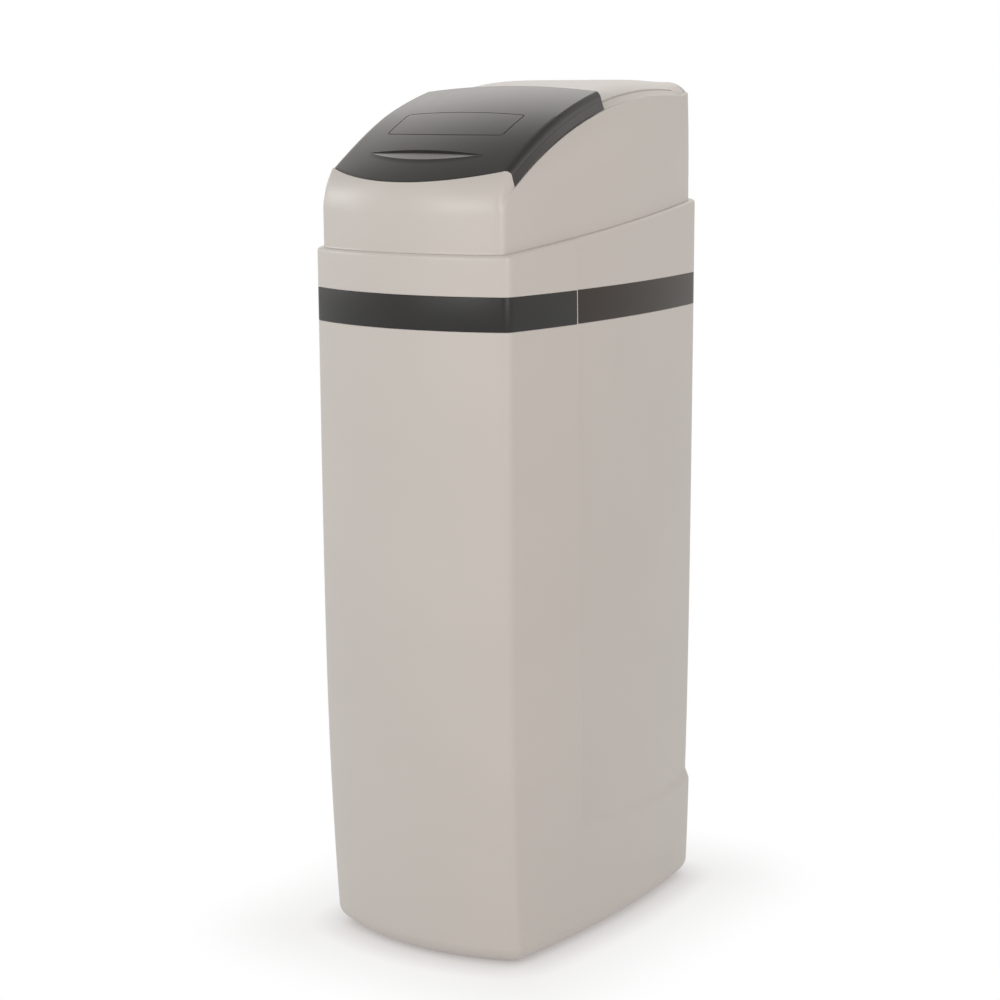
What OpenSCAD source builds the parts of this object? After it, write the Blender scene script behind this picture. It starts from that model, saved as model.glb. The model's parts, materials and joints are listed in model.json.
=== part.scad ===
// Cabinet water softener: moulded tub, lift-off cover with a lid that slides on an arc,
// resin vessel with a disc control valve, brine well and overflow.
// Millimetres, +Z up, front towards -Y, origin on the floor at mid width and mid depth.

/* [Cabinet] */
// Width of the front between its two upright corners
body_w = 302; // [290:1:330]
// Depth of the tub from the front's crown to the back's crown
body_d = 504; // [490:1:540]
// How far the front bows out between its corners
front_bow = 35; // [25:1:42]
// How far each side bows out between its corners
side_bow = 20; // [14:1:24]
// How far the back bows out between its corners
back_bow = 6; // [4:1:9]
// Radius of the front upright corners
front_corner_r = 17; // [12:1:20]
// Radius of the rear upright corners
rear_corner_r = 22; // [16:1:26]
// How far the front draws in from the trim band down to the base
front_draft = 22; // [10:1:28]
// How far each side draws in from the trim band down to the base
side_draft = 3; // [1:1:8]
// How far the back draws in from the trim band down to the base
back_draft = 8; // [2:1:12]
// Radius of the rounded base edge
base_round = 24; // [16:1:28]
// Wall thickness of the tub behind the trim groove
tub_wall = 6; // [5:0.5:7]
// Thickness of the tub's floor
tub_floor = 6; // [5:0.5:9]
// Height of the standing pad under the floor
pad_h = 2; // [1:0.5:4]
// Width of the flange around the rim
rim_flange = 12; // [11:0.5:14]
// Height of the front rim over the vessel's neck
rim_over_neck = 20; // [15:1:30]
// How much higher the rim is at the back than at the front
rim_rise = 50; // [40:1:60]
// Depth of the recessed rear part of the sides and back, at the ledge
recess_depth = 4.6; // [3:0.2:6]
// Depth of the same recess at the rim
recess_rim = 2.2; // [1:0.1:3]
// Distance of the recess's front edge behind the front crown, at the rim
recess_start = 163; // [150:1:180]
// How far the recess's front edge runs back from the rim down to the ledge
recess_lean = 42; // [20:1:50]
// Lowest height of the ledge under the recess
ledge_z = 157; // [130:1:190]
// How much the ledge climbs towards its front end
ledge_climb = 21; // [10:1:28]
// Height of the sloping ledge face
ledge_h = 13; // [9:1:16]

/* [Trim band] */
// Height of the band
band_h = 43; // [30:1:50]
// Distance of the band's top edge below the front rim
band_drop = 51; // [45:1:60]
// Thickness of the band
band_t = 2.2; // [1.6:0.1:3]
// Clearance of the band in its groove
band_gap = 0.2; // [0.1:0.05:0.3]
// Gap between the front and rear bands
band_split = 1.2; // [0.8:0.1:2]

/* [Cover and lid] */
// How far the cover stands in from the tub's front
cover_inset = 5.5; // [5:0.1:6.5]
// How far the cover stands in from the tub's sides and back
cover_side_inset = 7.5; // [6:0.1:8]
// Radius of the cover's front corners at its foot
cover_corner_r = 10; // [7:0.5:14]
// Wall thickness of the cover
cover_wall = 3; // [2.5:0.1:3.5]
// Height of the cover's shoulder above the front rim
shoulder_over_rim = 59; // [50:1:66]
// How much the shoulder lifts towards the front corners
shoulder_lift = 8; // [4:1:10]
// Radius of the lid's crown about its sliding axis
lid_r = 652; // [648:1:656]
// Height of the lid's crown above the front rim
lid_crown_z = 221; // [212:1:228]
// Distance of the lid's sliding axis behind the front crown
arc_back = 412; // [404:1:420]
// How much the lid drops from its middle to its edges
lid_camber = 11; // [8:1:13]
// How far the deck lies below the lid's crown
deck_drop = 11; // [10.5:0.5:13]
// How much the deck drops from its middle to its guide grooves
deck_camber = 13.5; // [12:0.5:15]
// Thickness of the deck
deck_t = 5; // [4.5:0.5:6]
// Half the width over the lid's skirts
lid_half_w = 142; // [138:1:146]
// Thickness of the lid
lid_t = 3; // [2.5:0.1:3.5]
// Radius of the lid's long edges
lid_edge_r = 10; // [7:0.5:12]
// How far the lower part of the lid's skirts flares out
skirt_flare = 1.6; // [0.8:0.1:2]
// Distance of the lid's front edge behind the front crown
lid_setback = 18; // [14:1:22]
// Radius of the lid's bowed front edge
lid_front_r = 279; // [270:1:290]
// Angle of the lid's rear edge ahead of the arc's top
lid_rear_angle = 13.6; // [13:0.1:14.5]
// How far the lid slides back along its arc, in degrees
lid_travel = 17; // [14:0.5:18]
// Half the width between the lid's runners
runner_x = 131; // [128:0.5:132]
// Thickness of a runner
runner_t = 1.8; // [1.4:0.1:2.4]
// Depth of the guide grooves
groove_depth = 2.5; // [1.5:0.1:3]
// Clearance of the lid to the cover
lid_gap = 0.4; // [0.3:0.05:0.6]
// Half the width of the fill mouth
mouth_half_w = 112; // [100:1:116]
// Length of the fill mouth from front to back
mouth_len = 160; // [140:1:170]
// Half the width of the bare label outline and of the finger recess
label_half_w = 87; // [70:1:95]
// Length of the label outline along the arc
label_len = 51; // [35:1:60]
// Half the width of the rear pipe cut-out
cutout_half_w = 92; // [88:1:105]

/* [Vessel] */
// Outside diameter of the vessel
tank_d = 257; // [240:1:262]
// Height of the vessel to the top of its neck
tank_h = 890; // [850:1:920]
// Wall thickness of the vessel
tank_wall = 4; // [3:0.5:5]
// Height of the vessel's domes
dome_h = 60; // [50:1:70]
// Radius of the neck's bore
neck_r = 31; // [29:0.5:33]
// Height of the neck
neck_h = 34; // [28:1:40]
// Height of the boot under the vessel
boot_h = 70; // [50:1:90]
// Thickness of the boot
boot_t = 3; // [2:0.5:4]
// Gap between the boot and the tub's back wall at the floor
tank_back_gap = 12; // [9:1:16]
// Height of the resin above the vessel's bottom
resin_h = 540; // [400:5:600]
// Outside radius of the riser tube
riser_r = 13.35; // [12:0.05:14]

/* [Valve] */
// Height of the port axes above the rear rim
port_over_rim = 33; // [30:1:38]
// Distance of each port from the middle
port_x = 42; // [38:1:44]
// Outside radius of the ports, one inch pipe size
port_r = 16.6; // [13:0.1:17]
// Distance of the port ends inside the back crown
port_setback = 30; // [24:1:36]
// Teeth of the drive gear
gear_teeth = 80; // [72:4:84]
// Teeth of the motor pinion
pinion_teeth = 20; // [18:1:21]
// Module of the gear teeth
gear_module = 1; // [1:0.05:1.1]
// Thickness of the gears
gear_t = 8; // [6:0.5:10]
// Play between the gear teeth
gear_play = 0.25; // [0.15:0.05:0.35]
// Radius of the valve spindle
spindle_r = 5; // [4:0.5:6]
// Running clearance of shafts in their bores
run_gap = 0.05; // [0.03:0.01:0.08]
// Radius of the disc chamber's bore
chamber_r = 26; // [24:0.5:27]

/* [Control panel] */
// Half the width of the control housing
panel_half_w = 70; // [64:1:80]
// Length of the control housing's face
panel_len = 75; // [70:1:82]
// Depth of the control housing
panel_depth = 34; // [28:1:38]
// Lean of the control housing's face from level, in degrees
panel_tilt = 58; // [50:1:64]
// Wall thickness of the control housing
panel_wall = 2.5; // [2:0.1:3]
// Radius of a button
button_r = 5; // [4:0.25:6]
// Travel of a button
button_travel = 1.2; // [0.8:0.1:1.5]
// Clearance of a button in its hole
button_gap = 0.3; // [0.2:0.05:0.4]

/* [Brine side] */
// Outside radius of the brine well
well_r = 45; // [40:1:50]
// Wall thickness of the brine well
well_wall = 2.5; // [2:0.1:3]
// Height of the brine well
well_h = 872; // [780:2:880]
// Gap between the brine well and the vessel's boot
well_gap = 9; // [6:1:14]
// Radius of the brine line
line_r = 4.75; // [4:0.25:5.5]
// Radius of the brine line's bends
line_bend = 22; // [18:1:28]
// Height of the float above the floor
float_z = 492; // [380:2:600]
// Travel of the float
float_travel = 12; // [8:1:16]
// Height of the overflow above the floor
overflow_z = 780; // [700:5:800]
// Distance of the overflow from the middle
overflow_x = 100; // [80:1:110]

/* [Hidden] */
$fn = 64;
shell_grey = [0.79, 0.77, 0.745];
lid_grey = [0.33, 0.33, 0.32];
trim_grey = [0.26, 0.26, 0.25];
black = [0.12, 0.12, 0.13];
white = [0.88, 0.88, 0.86];
steel_grey = [0.7, 0.7, 0.72];

// Levels
floor_z = pad_h + tub_floor;
tank_z = floor_z + boot_t;
neck_z = tank_z + tank_h;
rim_z = neck_z + rim_over_neck;
rim_back_z = rim_z + rim_rise;
band_top = rim_z - band_drop;
band_low = band_top - band_h;

// Plan of the tub: one arc for the front, one for each side and one for the back
front_y = -body_d / 2;
back_y = body_d / 2;
corner_front_y = front_y + front_bow;
corner_back_y = back_y - back_bow;
function bow_r(chord, bow) = (chord * chord / 4 + bow * bow) / (2 * bow);
front_r = bow_r(body_w, front_bow);
side_r = bow_r(corner_back_y - corner_front_y, side_bow);
back_r = bow_r(body_w, back_bow);
front_c = [0, front_y + front_r];
side_c = [body_w / 2 + side_bow - side_r, (corner_front_y + corner_back_y) / 2];
back_c = [0, back_y - back_r];
steps_front = 7;
steps_corner = 5;
steps_side_front = 4;
steps_side_rear = 7;
steps_back = 4;
draft_power = 2.4;
step_run = 3;

// The point where two circles cross, on the left (1) or right (-1) of the way from the first to the second
function crossing(a, ra, b, rb, side) =
    let (v = b - a, d = norm(v), t = (ra * ra - rb * rb + d * d) / (2 * d),
        h = sqrt(max(ra * ra - t * t, 0)))
    a + (t * v + side * h * [-v.y, v.x]) / d;
function turn(c, r, a0, a1, n, first) =
    [for (k = [first:n]) c + r * [cos(a0 + (a1 - a0) * k / n), sin(a0 + (a1 - a0) * k / n)]];
function bearing(from, to) = atan2(to.y - from.y, to.x - from.x);

// Right half of a closed plan: front arc, corner, side arc with a step in it, rear corner, back arc
function half_plan(cf, f, cs, s, cb, b, rf, rr, step_y, step) =
    let (s2 = s - step, b2 = b - step,
        pf = crossing(cf, f - rf, cs, s - rf, 1), pr = crossing(cb, b2 - rr, cs, s2 - rr, -1),
        a1 = bearing(cf, pf), a2 = bearing(cs, pf), a3 = bearing(cs, pr), a4 = bearing(cb, pr),
        k1 = asin((step_y - cs.y) / s), k2 = asin((step_y + step_run - cs.y) / s2))
    concat(turn(cf, f, -90, a1, steps_front, 0), turn(pf, rf, a1, a2, steps_corner, 1),
        turn(cs, s, a2, k1, steps_side_front, 1), turn(cs, s2, k2, a3, steps_side_rear, 0),
        turn(pr, rr, a3, a4, steps_corner, 1), turn(cb, b2, a4, 90, steps_back, 1));
function whole(half) = concat(half, [for (i = [len(half) - 2:-1:1]) [-half[i].x, half[i].y]]);

// The tub's plan at a height, drawn in by an inset and by the draft
function drawn(z) = pow(max(0, 1 - z / band_low), draft_power);
function step_y(z) = front_y + recess_start + recess_lean * (rim_z - z) / (rim_z - ledge_z);
function recess_at(z) = recess_depth + (recess_rim - recess_depth) * (z - ledge_z) / (rim_z - ledge_z);
function tub_half(z, inset, step) =
    half_plan(front_c, front_r - inset - front_draft * drawn(z),
        side_c, side_r - inset - side_draft * drawn(z), back_c, back_r - inset - back_draft * drawn(z),
        front_corner_r - 0.3 * front_draft * drawn(z), rear_corner_r, step_y(z), step);

// Curves that rings may follow: the level, the climbing rim or the ledge's smile
LEVEL = 0;
RIM = 1;
LEDGE = 2;
function rim_at(y) =
    rim_z + rim_rise * min(1, max(0, (y - corner_front_y) / (corner_back_y - corner_front_y)));
ledge_low_back = 122;
ledge_low_y = back_y - ledge_low_back;
ledge_front_y = step_y(ledge_z);
function ledge_at(y) =
    ledge_z + ledge_climb * pow((max(y, ledge_front_y) - ledge_low_y) / (ledge_low_y - ledge_front_y), 2);
function lifted(p, z, curve) =
    [p.x, p.y, z + (curve == RIM ? rim_at(p.y) : curve == LEDGE ? ledge_at(p.y) : 0)];
function plan_level(z, curve) = curve == RIM ? rim_z : curve == LEDGE ? ledge_z + z : z;
function tub_ring(z, curve, inset, cut) =
    let (level = plan_level(z, curve))
    [for (p = whole(tub_half(level, inset, cut * recess_at(level)))) lifted(p, z, curve)];

// Solid through rings of equal counts, closed by flat ends or joined into a loop
module loft(rings, loop = false) {
    n = len(rings[0]);
    m = len(rings);
    walls = [for (k = [0:m - (loop ? 1 : 2)]) for (i = [0:n - 1])
        let (j = (i + 1) % n, a = k * n, b = ((k + 1) % m) * n)
        each [[a + i, b + i, b + j], [a + i, b + j, a + j]]];
    ends = loop ? [] : [[for (i = [0:n - 1]) i], [for (i = [n - 1:-1:0]) (m - 1) * n + i]];
    polyhedron(points = [for (r = rings) each r], faces = concat(walls, ends), convexity = 6);
}

// Tub
base_turns = [0, 25, 50, 70, 90];
rim_edge = 5;
rim_h = 14;
inner_round = base_round - tub_wall;
wall_steps = 4;
function wall_z(k) =
    ledge_z + ledge_climb + (band_low - ledge_z - ledge_climb) * k / wall_steps;
function tub_rings() = concat(
    [for (a = base_turns) tub_ring(pad_h + base_round * (1 - cos(a)), LEVEL, base_round * (1 - sin(a)), 0)],
    [tub_ring(-ledge_h, LEDGE, 0, 0), tub_ring(0, LEDGE, 0, 1)],
    [for (k = [1:wall_steps - 1]) tub_ring(wall_z(k), LEVEL, 0, 1)],
    [tub_ring(band_low, LEVEL, 0, 1), tub_ring(band_low, LEVEL, band_t + band_gap, 1),
        tub_ring(band_top, LEVEL, band_t + band_gap, 1), tub_ring(band_top, LEVEL, 0, 1)],
    [for (a = [0, 25, 50, 70, 90]) tub_ring(-rim_edge * (1 - sin(a)), RIM, rim_edge * (1 - cos(a)), 1)],
    [tub_ring(0, RIM, rim_flange, 0), tub_ring(-rim_h, RIM, rim_flange, 0),
        tub_ring(-rim_h - rim_flange, RIM, tub_wall, 1)],
    [for (k = [wall_steps - 1:-1:1]) tub_ring(wall_z(k), LEVEL, tub_wall, 1)],
    [tub_ring(0, LEDGE, tub_wall, 1), tub_ring(-ledge_h, LEDGE, tub_wall, 0)],
    [for (i = [len(base_turns) - 1:-1:0]) let (a = base_turns[i])
        tub_ring(floor_z + inner_round * (1 - cos(a)), LEVEL, tub_wall + inner_round * (1 - sin(a)), 0)]);
pad_inset = 6;
overflow_r = 10.5;
boss_r = 19;
boss_out = 2;
boss_in = 4;
overflow_back_r = back_r - recess_at(overflow_z) - back_draft * drawn(overflow_z);
overflow_y = back_c.y + sqrt(pow(overflow_back_r, 2) - pow(overflow_x, 2)) + boss_out;
overflow_in_y = overflow_y - boss_out - tub_wall - boss_in;
module along_y(y0, y1, r) {
    translate([0, y0, 0]) rotate([-90, 0, 0]) cylinder(h = y1 - y0, r = r);
}
module at_overflow() {
    translate([-overflow_x, 0, overflow_z]) children();
}
module cabinet() {
    color(shell_grey) difference() {
        union() {
            loft(tub_rings());
            linear_extrude(pad_h + tub_floor / 3) polygon(whole(tub_half(0, base_round + pad_inset, 0)));
            at_overflow() along_y(overflow_in_y, overflow_y, boss_r);
        }
        at_overflow() along_y(overflow_in_y - 5, overflow_y + 5, overflow_r);
    }
}

// Trim bands: strips in the tub's groove, split where the recess starts
first_rear = steps_front + steps_corner + steps_side_front + 1;
function pulled(a, b, d) = a + d * (b - a) / norm(b - a);
function front_path(z, inset) =
    let (h = tub_half(z, inset, recess_at(z)), e = first_rear - 1,
        right = [for (i = [0:e]) i < e ? h[i] : pulled(h[e], h[e - 1], band_split)])
    concat([for (i = [e:-1:1]) [-right[i].x, right[i].y]], right);
function rear_path(z, inset) =
    let (h = tub_half(z, inset, recess_at(z)), n = len(h) - 1,
        right = [for (i = [first_rear:n]) i > first_rear ? h[i] : pulled(h[i], h[i + 1], band_split)])
    concat(right, [for (i = [len(right) - 2:-1:0]) [-right[i].x, right[i].y]]);
module strip(outer, inner) {
    low = band_low + band_gap;
    high = band_top - band_gap;
    loft([for (i = [0:len(outer) - 1]) [[outer[i].x, outer[i].y, high], [inner[i].x, inner[i].y, high],
        [inner[i].x, inner[i].y, low], [outer[i].x, outer[i].y, low]]]);
}
band_mid = (band_low + band_top) / 2;
module front_trim_band() {
    color(trim_grey) strip(front_path(band_mid, 0), front_path(band_mid, band_t));
}
module rear_trim_band() {
    color(trim_grey) strip(rear_path(band_mid, 0), rear_path(band_mid, band_t));
}

// Lid arc: an axis along X, with heights given by a radius for each distance from the middle
arc_y = front_y + arc_back;
arc_z = rim_z + lid_crown_z - lid_r;
skirt_h = 32;
skirt_r = lid_r - skirt_h;
lid_flat = lid_half_w - skirt_flare - lid_edge_r;
function lid_top(x) = lid_r - lid_camber * pow(x / lid_flat, 2);
function deck_top(x) = lid_r - deck_drop - deck_camber * pow(x / runner_x, 2);
function arc_height(r, y) = arc_z + sqrt(r * r - (y - arc_y) * (y - arc_y));
module arc_sweep(a0, a1) {
    translate([0, arc_y, arc_z]) rotate([0, -90, 0]) rotate([0, 0, a0])
        rotate_extrude(angle = a1 - a0) children();
}
module at_arc(angle) {
    translate([0, arc_y, arc_z]) rotate([-angle, 0, 0]) children();
}

// Plans of the cover's top: the lip around the lid, the ledge under its skirts, the deck and the fill mouth
lid_c = [0, front_y + lid_setback + lid_front_r];
flat_side_r = 40000;
mouth_side_r = 1500;
mouth_back_r = 2000;
mouth_inset = 26;
mouth_front_y = front_y + lid_setback + mouth_inset;
function top_half(front_in, half_w, back_in, rf, rr) =
    half_plan(lid_c, lid_front_r + lid_gap - front_in, [half_w - flat_side_r, side_c.y], flat_side_r,
        back_c, back_r - cover_side_inset - back_in, rf, rr, step_y(rim_z), 0);
function mouth_half() =
    half_plan(lid_c, lid_front_r - mouth_inset, [mouth_half_w - mouth_side_r, mouth_front_y + mouth_len / 2],
        mouth_side_r, [0, mouth_front_y + mouth_len - mouth_back_r], mouth_back_r, 12, 12,
        mouth_front_y + mouth_len / 2, 0);
lip_half_w = lid_half_w + 1.5;
ledge_half_w = lid_half_w - lid_t - 0.3;
function mixed(a, b, t) = a + (b - a) * min(1, max(0, t));
function over(p, r) = [p.x, p.y, arc_height(r, p.y)];
lip_drop = 3;
skirt_gap = 0.3;
lip_run = ledge_half_w - lid_flat - 1.8;
ledge_run = 3;
function lip_r(p) =
    mixed(p.y > 0 ? deck_top(p.x) - lip_drop : lid_top(p.x), skirt_r - skirt_gap,
        (abs(p.x) - lid_flat) / lip_run);
function ledge_r(p) = mixed(deck_top(p.x), skirt_r - 2 * skirt_gap, (abs(p.x) - lid_flat) / ledge_run);
ceiling_run = 0.8;
function ceiling_r(p) =
    mixed(deck_top(p.x) - deck_t, skirt_r - 2 * skirt_gap - cover_wall, (abs(p.x) - lid_flat) / ceiling_run);
deck_edge = 1.5;
lip_ring = [for (p = whole(top_half(0, lip_half_w, 2, 10, 18))) over(p, lip_r(p))];
ledge_ring = [for (p = whole(top_half(0.1, ledge_half_w, 4, 7, 16))) over(p, ledge_r(p))];
edge_ring = [for (p = whole(top_half(3, ledge_half_w - 2.5, 6, 6, 14)))
    over(p, deck_top(p.x) - (abs(p.x) > lid_flat ? deck_edge : 0))];
rail_ring = [for (p = whole(top_half(6, ledge_half_w - 5, 9, 6, 12))) over(p, deck_top(p.x))];
mouth_ring = [for (p = whole(mouth_half())) over(p, deck_top(p.x))];
ceiling_ring = [for (p = whole(top_half(4, ledge_half_w - 4.5, 7, 5, 12))) over(p, ceiling_r(p))];
function between(a, b, t, drop) =
    [for (i = [0:len(a) - 1]) let (p = mixed(a[i], b[i], t)) over(p, deck_top(p.x) - drop)];

// The cover's wall: plumb from the rim to its shoulder, then turned in to the lip
shoulder_z = rim_z + shoulder_over_rim;
shoulder_turn = 55;
function shoulder_at(p) = shoulder_z + shoulder_lift * pow(min(1, abs(p.x) / lid_flat), 2);
function cover_plan(inset) =
    whole(half_plan(front_c, front_r - cover_inset - inset, side_c, side_r - cover_side_inset - inset,
        back_c, back_r - cover_side_inset - inset, cover_corner_r - inset, rear_corner_r - inset,
        step_y(rim_z), 0));
function wall_foot(inset) = [for (p = cover_plan(inset)) [p.x, p.y, shoulder_at(p)]];
function cover_ring(z, inset) = [for (p = cover_plan(inset)) lifted(p, z, RIM)];
function swung(foot, top, t) =
    [for (i = [0:len(foot) - 1]) let (
        h = (1 - cos(shoulder_turn * t)) / (1 - cos(shoulder_turn)),
        v = sin(shoulder_turn * t) / sin(shoulder_turn))
        [mixed(foot[i].x, top[i].x, h), mixed(foot[i].y, top[i].y, h), mixed(foot[i].z, top[i].z, v)]];
seat_gap = 0.3;
tongue_gap = 0.4;
tongue_t = 2.6;
tongue_h = 9;
tongue_out = rim_flange + tongue_gap;
tongue_in = tongue_out + tongue_t;
deck_steps = 7;
swing_steps = 4;
function cover_rings() = concat(
    [cover_ring(seat_gap, 0), wall_foot(0)],
    [for (k = [1:swing_steps]) swung(wall_foot(0), lip_ring, k / swing_steps)],
    [ledge_ring, edge_ring, rail_ring],
    [for (k = [1:deck_steps - 1]) between(rail_ring, mouth_ring, k / deck_steps, 0)],
    [mouth_ring, between(mouth_ring, mouth_ring, 0, deck_t)],
    [for (k = [1:deck_steps - 1]) between(mouth_ring, ceiling_ring, k / deck_steps, deck_t)],
    [for (k = [swing_steps:-1:1]) swung(wall_foot(cover_wall), ceiling_ring, k / swing_steps)],
    [cover_ring(12, cover_wall), tub_ring(6, RIM, tongue_in, 0),
        tub_ring(-tongue_h, RIM, tongue_in, 0), tub_ring(-tongue_h, RIM, tongue_out, 0),
        tub_ring(seat_gap, RIM, tongue_out, 0)]);
groove_r = deck_top(runner_x) - groove_depth;
groove_w = runner_t + 2 * lid_gap;
lid_front_angle = -34.5;
groove_end = lid_travel - lid_rear_angle + 0.6;
port_z = rim_back_z + port_over_rim;
cutout_top = port_z + 60;
cutout_in = 60;
cutout_out = 40;
module cover_grooves() {
    for (s = [-1, 1]) arc_sweep(lid_front_angle + 3, groove_end)
        translate([groove_r, s * runner_x - groove_w / 2]) square([20, groove_w]);
}
module top_cover() {
    color(shell_grey) difference() {
        loft(cover_rings(), loop = true);
        cover_grooves();
        translate([-cutout_half_w, back_y - cutout_in, rim_z])
            cube([2 * cutout_half_w, cutout_in + cutout_out, cutout_top - rim_z]);
    }
}

// Lid: a cambered shell swept on its arc, with skirts, runners, a finger recess and a bare label outline
camber_steps = 12;
edge_turns = [0, 30, 60, 90];
function lid_edge(s, t) =
    let (c = lid_top(lid_flat) - lid_edge_r)
    [for (a = edge_turns) [c + (lid_edge_r - t) * sin(a), s * (lid_flat + (lid_edge_r - t) * cos(a))]];
function lid_crown(t, n) =
    [for (k = [1:n - 1]) let (x = lid_flat * (2 * k / n - 1)) [lid_top(x) - t, x]];
function backwards(list) = [for (i = [len(list) - 1:-1:0]) list[i]];
function lid_profile(t) = concat([[skirt_r, -(lid_half_w - t)]], lid_edge(-1, t), lid_crown(t, camber_steps),
    backwards(lid_edge(1, t)), [[skirt_r, lid_half_w - t]]);
recess_angle = -31.4;
label_angle = -25.3;
recess_r = lid_r - 5.5;
recess_up = 8;
recess_low = 14;
recess_floor = 3;
lens_steps = 12;
function lens(half_w, up, low) = concat(
    [for (k = [0:lens_steps]) let (u = 2 * k / lens_steps - 1) [-half_w * u, up * (1 - u * u)]],
    [for (k = [1:lens_steps - 1]) let (u = 2 * k / lens_steps - 1) [half_w * u, -low * (1 - u * u)]]);
label_line = 1.2;
label_depth = 0.8;
label_corner = 4;
module label_plate(inset) {
    w = label_half_w - inset;
    h = label_len / 2 - inset;
    c = label_corner;
    polygon([[-w, c - h], [c - w, -h], [w - c, -h], [w, c - h],
        [w, h - c], [w - c, h], [c - w, h], [-w, h - c]]);
}
module label_groove() {
    intersection() {
        at_arc(label_angle) translate([0, 0, lid_r - 30]) linear_extrude(40) difference() {
            label_plate(0);
            label_plate(label_line);
        }
        arc_sweep(label_angle - 8, label_angle + 8)
            polygon(concat(lid_crown(label_depth, camber_steps), backwards(lid_crown(-4, camber_steps))));
    }
}
module salt_lid() {
    rear = -lid_rear_angle;
    color(lid_grey) difference() {
        intersection() {
            union() {
                arc_sweep(lid_front_angle - 6, rear)
                    polygon(concat(lid_profile(0), backwards(lid_profile(lid_t))));
                for (s = [-1, 1]) arc_sweep(lid_front_angle + 3.5, rear - 0.5)
                    translate([groove_r + seat_gap, s * runner_x - runner_t / 2])
                        square([lid_top(runner_x) - lid_t / 2 - groove_r - seat_gap, runner_t]);
                intersection() {
                    at_arc(recess_angle) translate([0, 0, recess_r - recess_floor]) linear_extrude(20)
                        polygon(lens(label_half_w - 4, recess_up + 3, recess_low + 3));
                    arc_sweep(recess_angle - 6, recess_angle + 6) polygon(lid_profile(lid_t / 2));
                }
            }
            translate([0, 0, arc_z]) linear_extrude(lid_r + 20)
                polygon(whole(top_half(lid_gap, lid_half_w + 1, 40, 9.6, 12)));
        }
        at_arc(recess_angle) translate([0, 0, recess_r]) linear_extrude(20)
            polygon(lens(label_half_w, recess_up, recess_low));
        label_groove();
    }
}

// Vessel
tank_r = tank_d / 2;
boot_gap = 0.3;
boot_r = tank_r + boot_gap + boot_t;
tank_y = back_y - back_draft - tub_wall - tank_back_gap - boot_r;
neck_wall = 13;
foot_cut = 16;
dome_steps = 9;
lower_basket_r = 25;
lower_basket_h = 60;
module at_tank() {
    translate([0, tank_y, 0]) children();
}
function dome(r, h, z, up) =
    [for (k = [0:dome_steps]) let (a = 90 * k / dome_steps) [r * sin(a), z + (up ? 1 : -1) * h * cos(a)]];
function vessel_outline(r, h, low, high) = concat(dome(r, h, low, false), backwards(dome(r, h, high, true)));
shoulder_top = neck_z - neck_h + 10;
neck_foot = shoulder_top - dome_h;
module vessel_form(inset) {
    rotate_extrude()
        polygon(vessel_outline(tank_r - inset, dome_h - inset, tank_z + dome_h, neck_foot));
}
module tank_boot() {
    r = tank_r + boot_gap;
    color(black) at_tank() translate([0, 0, floor_z]) rotate_extrude()
        polygon([[0, 0], [boot_r - foot_cut, 0], [boot_r, foot_cut], [boot_r, boot_h], [r, boot_h],
            [r, foot_cut + boot_t / 2], [r - foot_cut + boot_t / 2, boot_t], [0, boot_t]]);
}
module resin_tank() {
    color([0.75, 0.74, 0.68]) at_tank() difference() {
        union() {
            vessel_form(0);
            translate([0, 0, neck_foot]) cylinder(h = neck_z - neck_foot, r = neck_r + neck_wall);
        }
        vessel_form(tank_wall);
        translate([0, 0, neck_foot]) cylinder(h = neck_z - neck_foot + 1, r = neck_r);
    }
}
module resin_bed() {
    color([0.62, 0.42, 0.2]) at_tank() difference() {
        intersection() {
            vessel_form(tank_wall + boot_gap);
            translate([0, 0, tank_z]) cylinder(h = resin_h, r = tank_r);
        }
        translate([0, 0, tank_z])
            cylinder(h = basket_z + lower_basket_h + boot_gap - tank_z, r = lower_basket_r + boot_gap);
        translate([0, 0, tank_z]) cylinder(h = resin_h + 1, r = riser_r + boot_gap);
    }
}
basket_lift = (dome_h - tank_wall) * (1 - cos(asin(lower_basket_r / (tank_r - tank_wall))));
basket_z = tank_z + tank_wall + basket_lift + 0.5;
riser_wall = 2.3;
plug_h = 20;
socket_h = 12;
socket_gap = 0.1;
module riser_tube() {
    color(white) at_tank() difference() {
        translate([0, 0, basket_z + lower_basket_h])
            cylinder(h = neck_z + socket_h - basket_z - lower_basket_h, r = riser_r);
        translate([0, 0, basket_z]) cylinder(h = neck_z + socket_h - basket_z + 1, r = riser_r - riser_wall);
    }
}
slot_count = 8;
module basket_slots(z, h, r) {
    for (k = [0:slot_count - 1]) rotate([0, 0, k * 360 / slot_count])
        translate([r - 6, -1, z]) cube([12, 2, h]);
}
module lower_distributor() {
    color(white) at_tank() difference() {
        translate([0, 0, basket_z]) cylinder(h = lower_basket_h, r = lower_basket_r);
        translate([0, 0, basket_z + 3]) cylinder(h = lower_basket_h - 8, r = lower_basket_r - 3);
        translate([0, 0, basket_z + 3]) cylinder(h = lower_basket_h, r = riser_r - riser_wall);
        basket_slots(basket_z + 6, lower_basket_h - 20, lower_basket_r);
    }
}
upper_basket_h = 46;
upper_basket_r = neck_r - 3;
module upper_distributor() {
    top = neck_z - plug_h;
    color(white) at_tank() difference() {
        translate([0, 0, top - upper_basket_h])
            cylinder(h = upper_basket_h, r1 = upper_basket_r - 6, r2 = upper_basket_r);
        translate([0, 0, top - upper_basket_h + 3]) cylinder(h = upper_basket_h, r = upper_basket_r - 9);
        translate([0, 0, top - upper_basket_h - 1]) cylinder(h = upper_basket_h, r = riser_r + socket_gap);
        basket_slots(top - upper_basket_h + 8, upper_basket_h - 18, upper_basket_r);
    }
}
seal_r = 2.4;
seal_ring_r = neck_r + neck_wall / 2;
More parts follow.
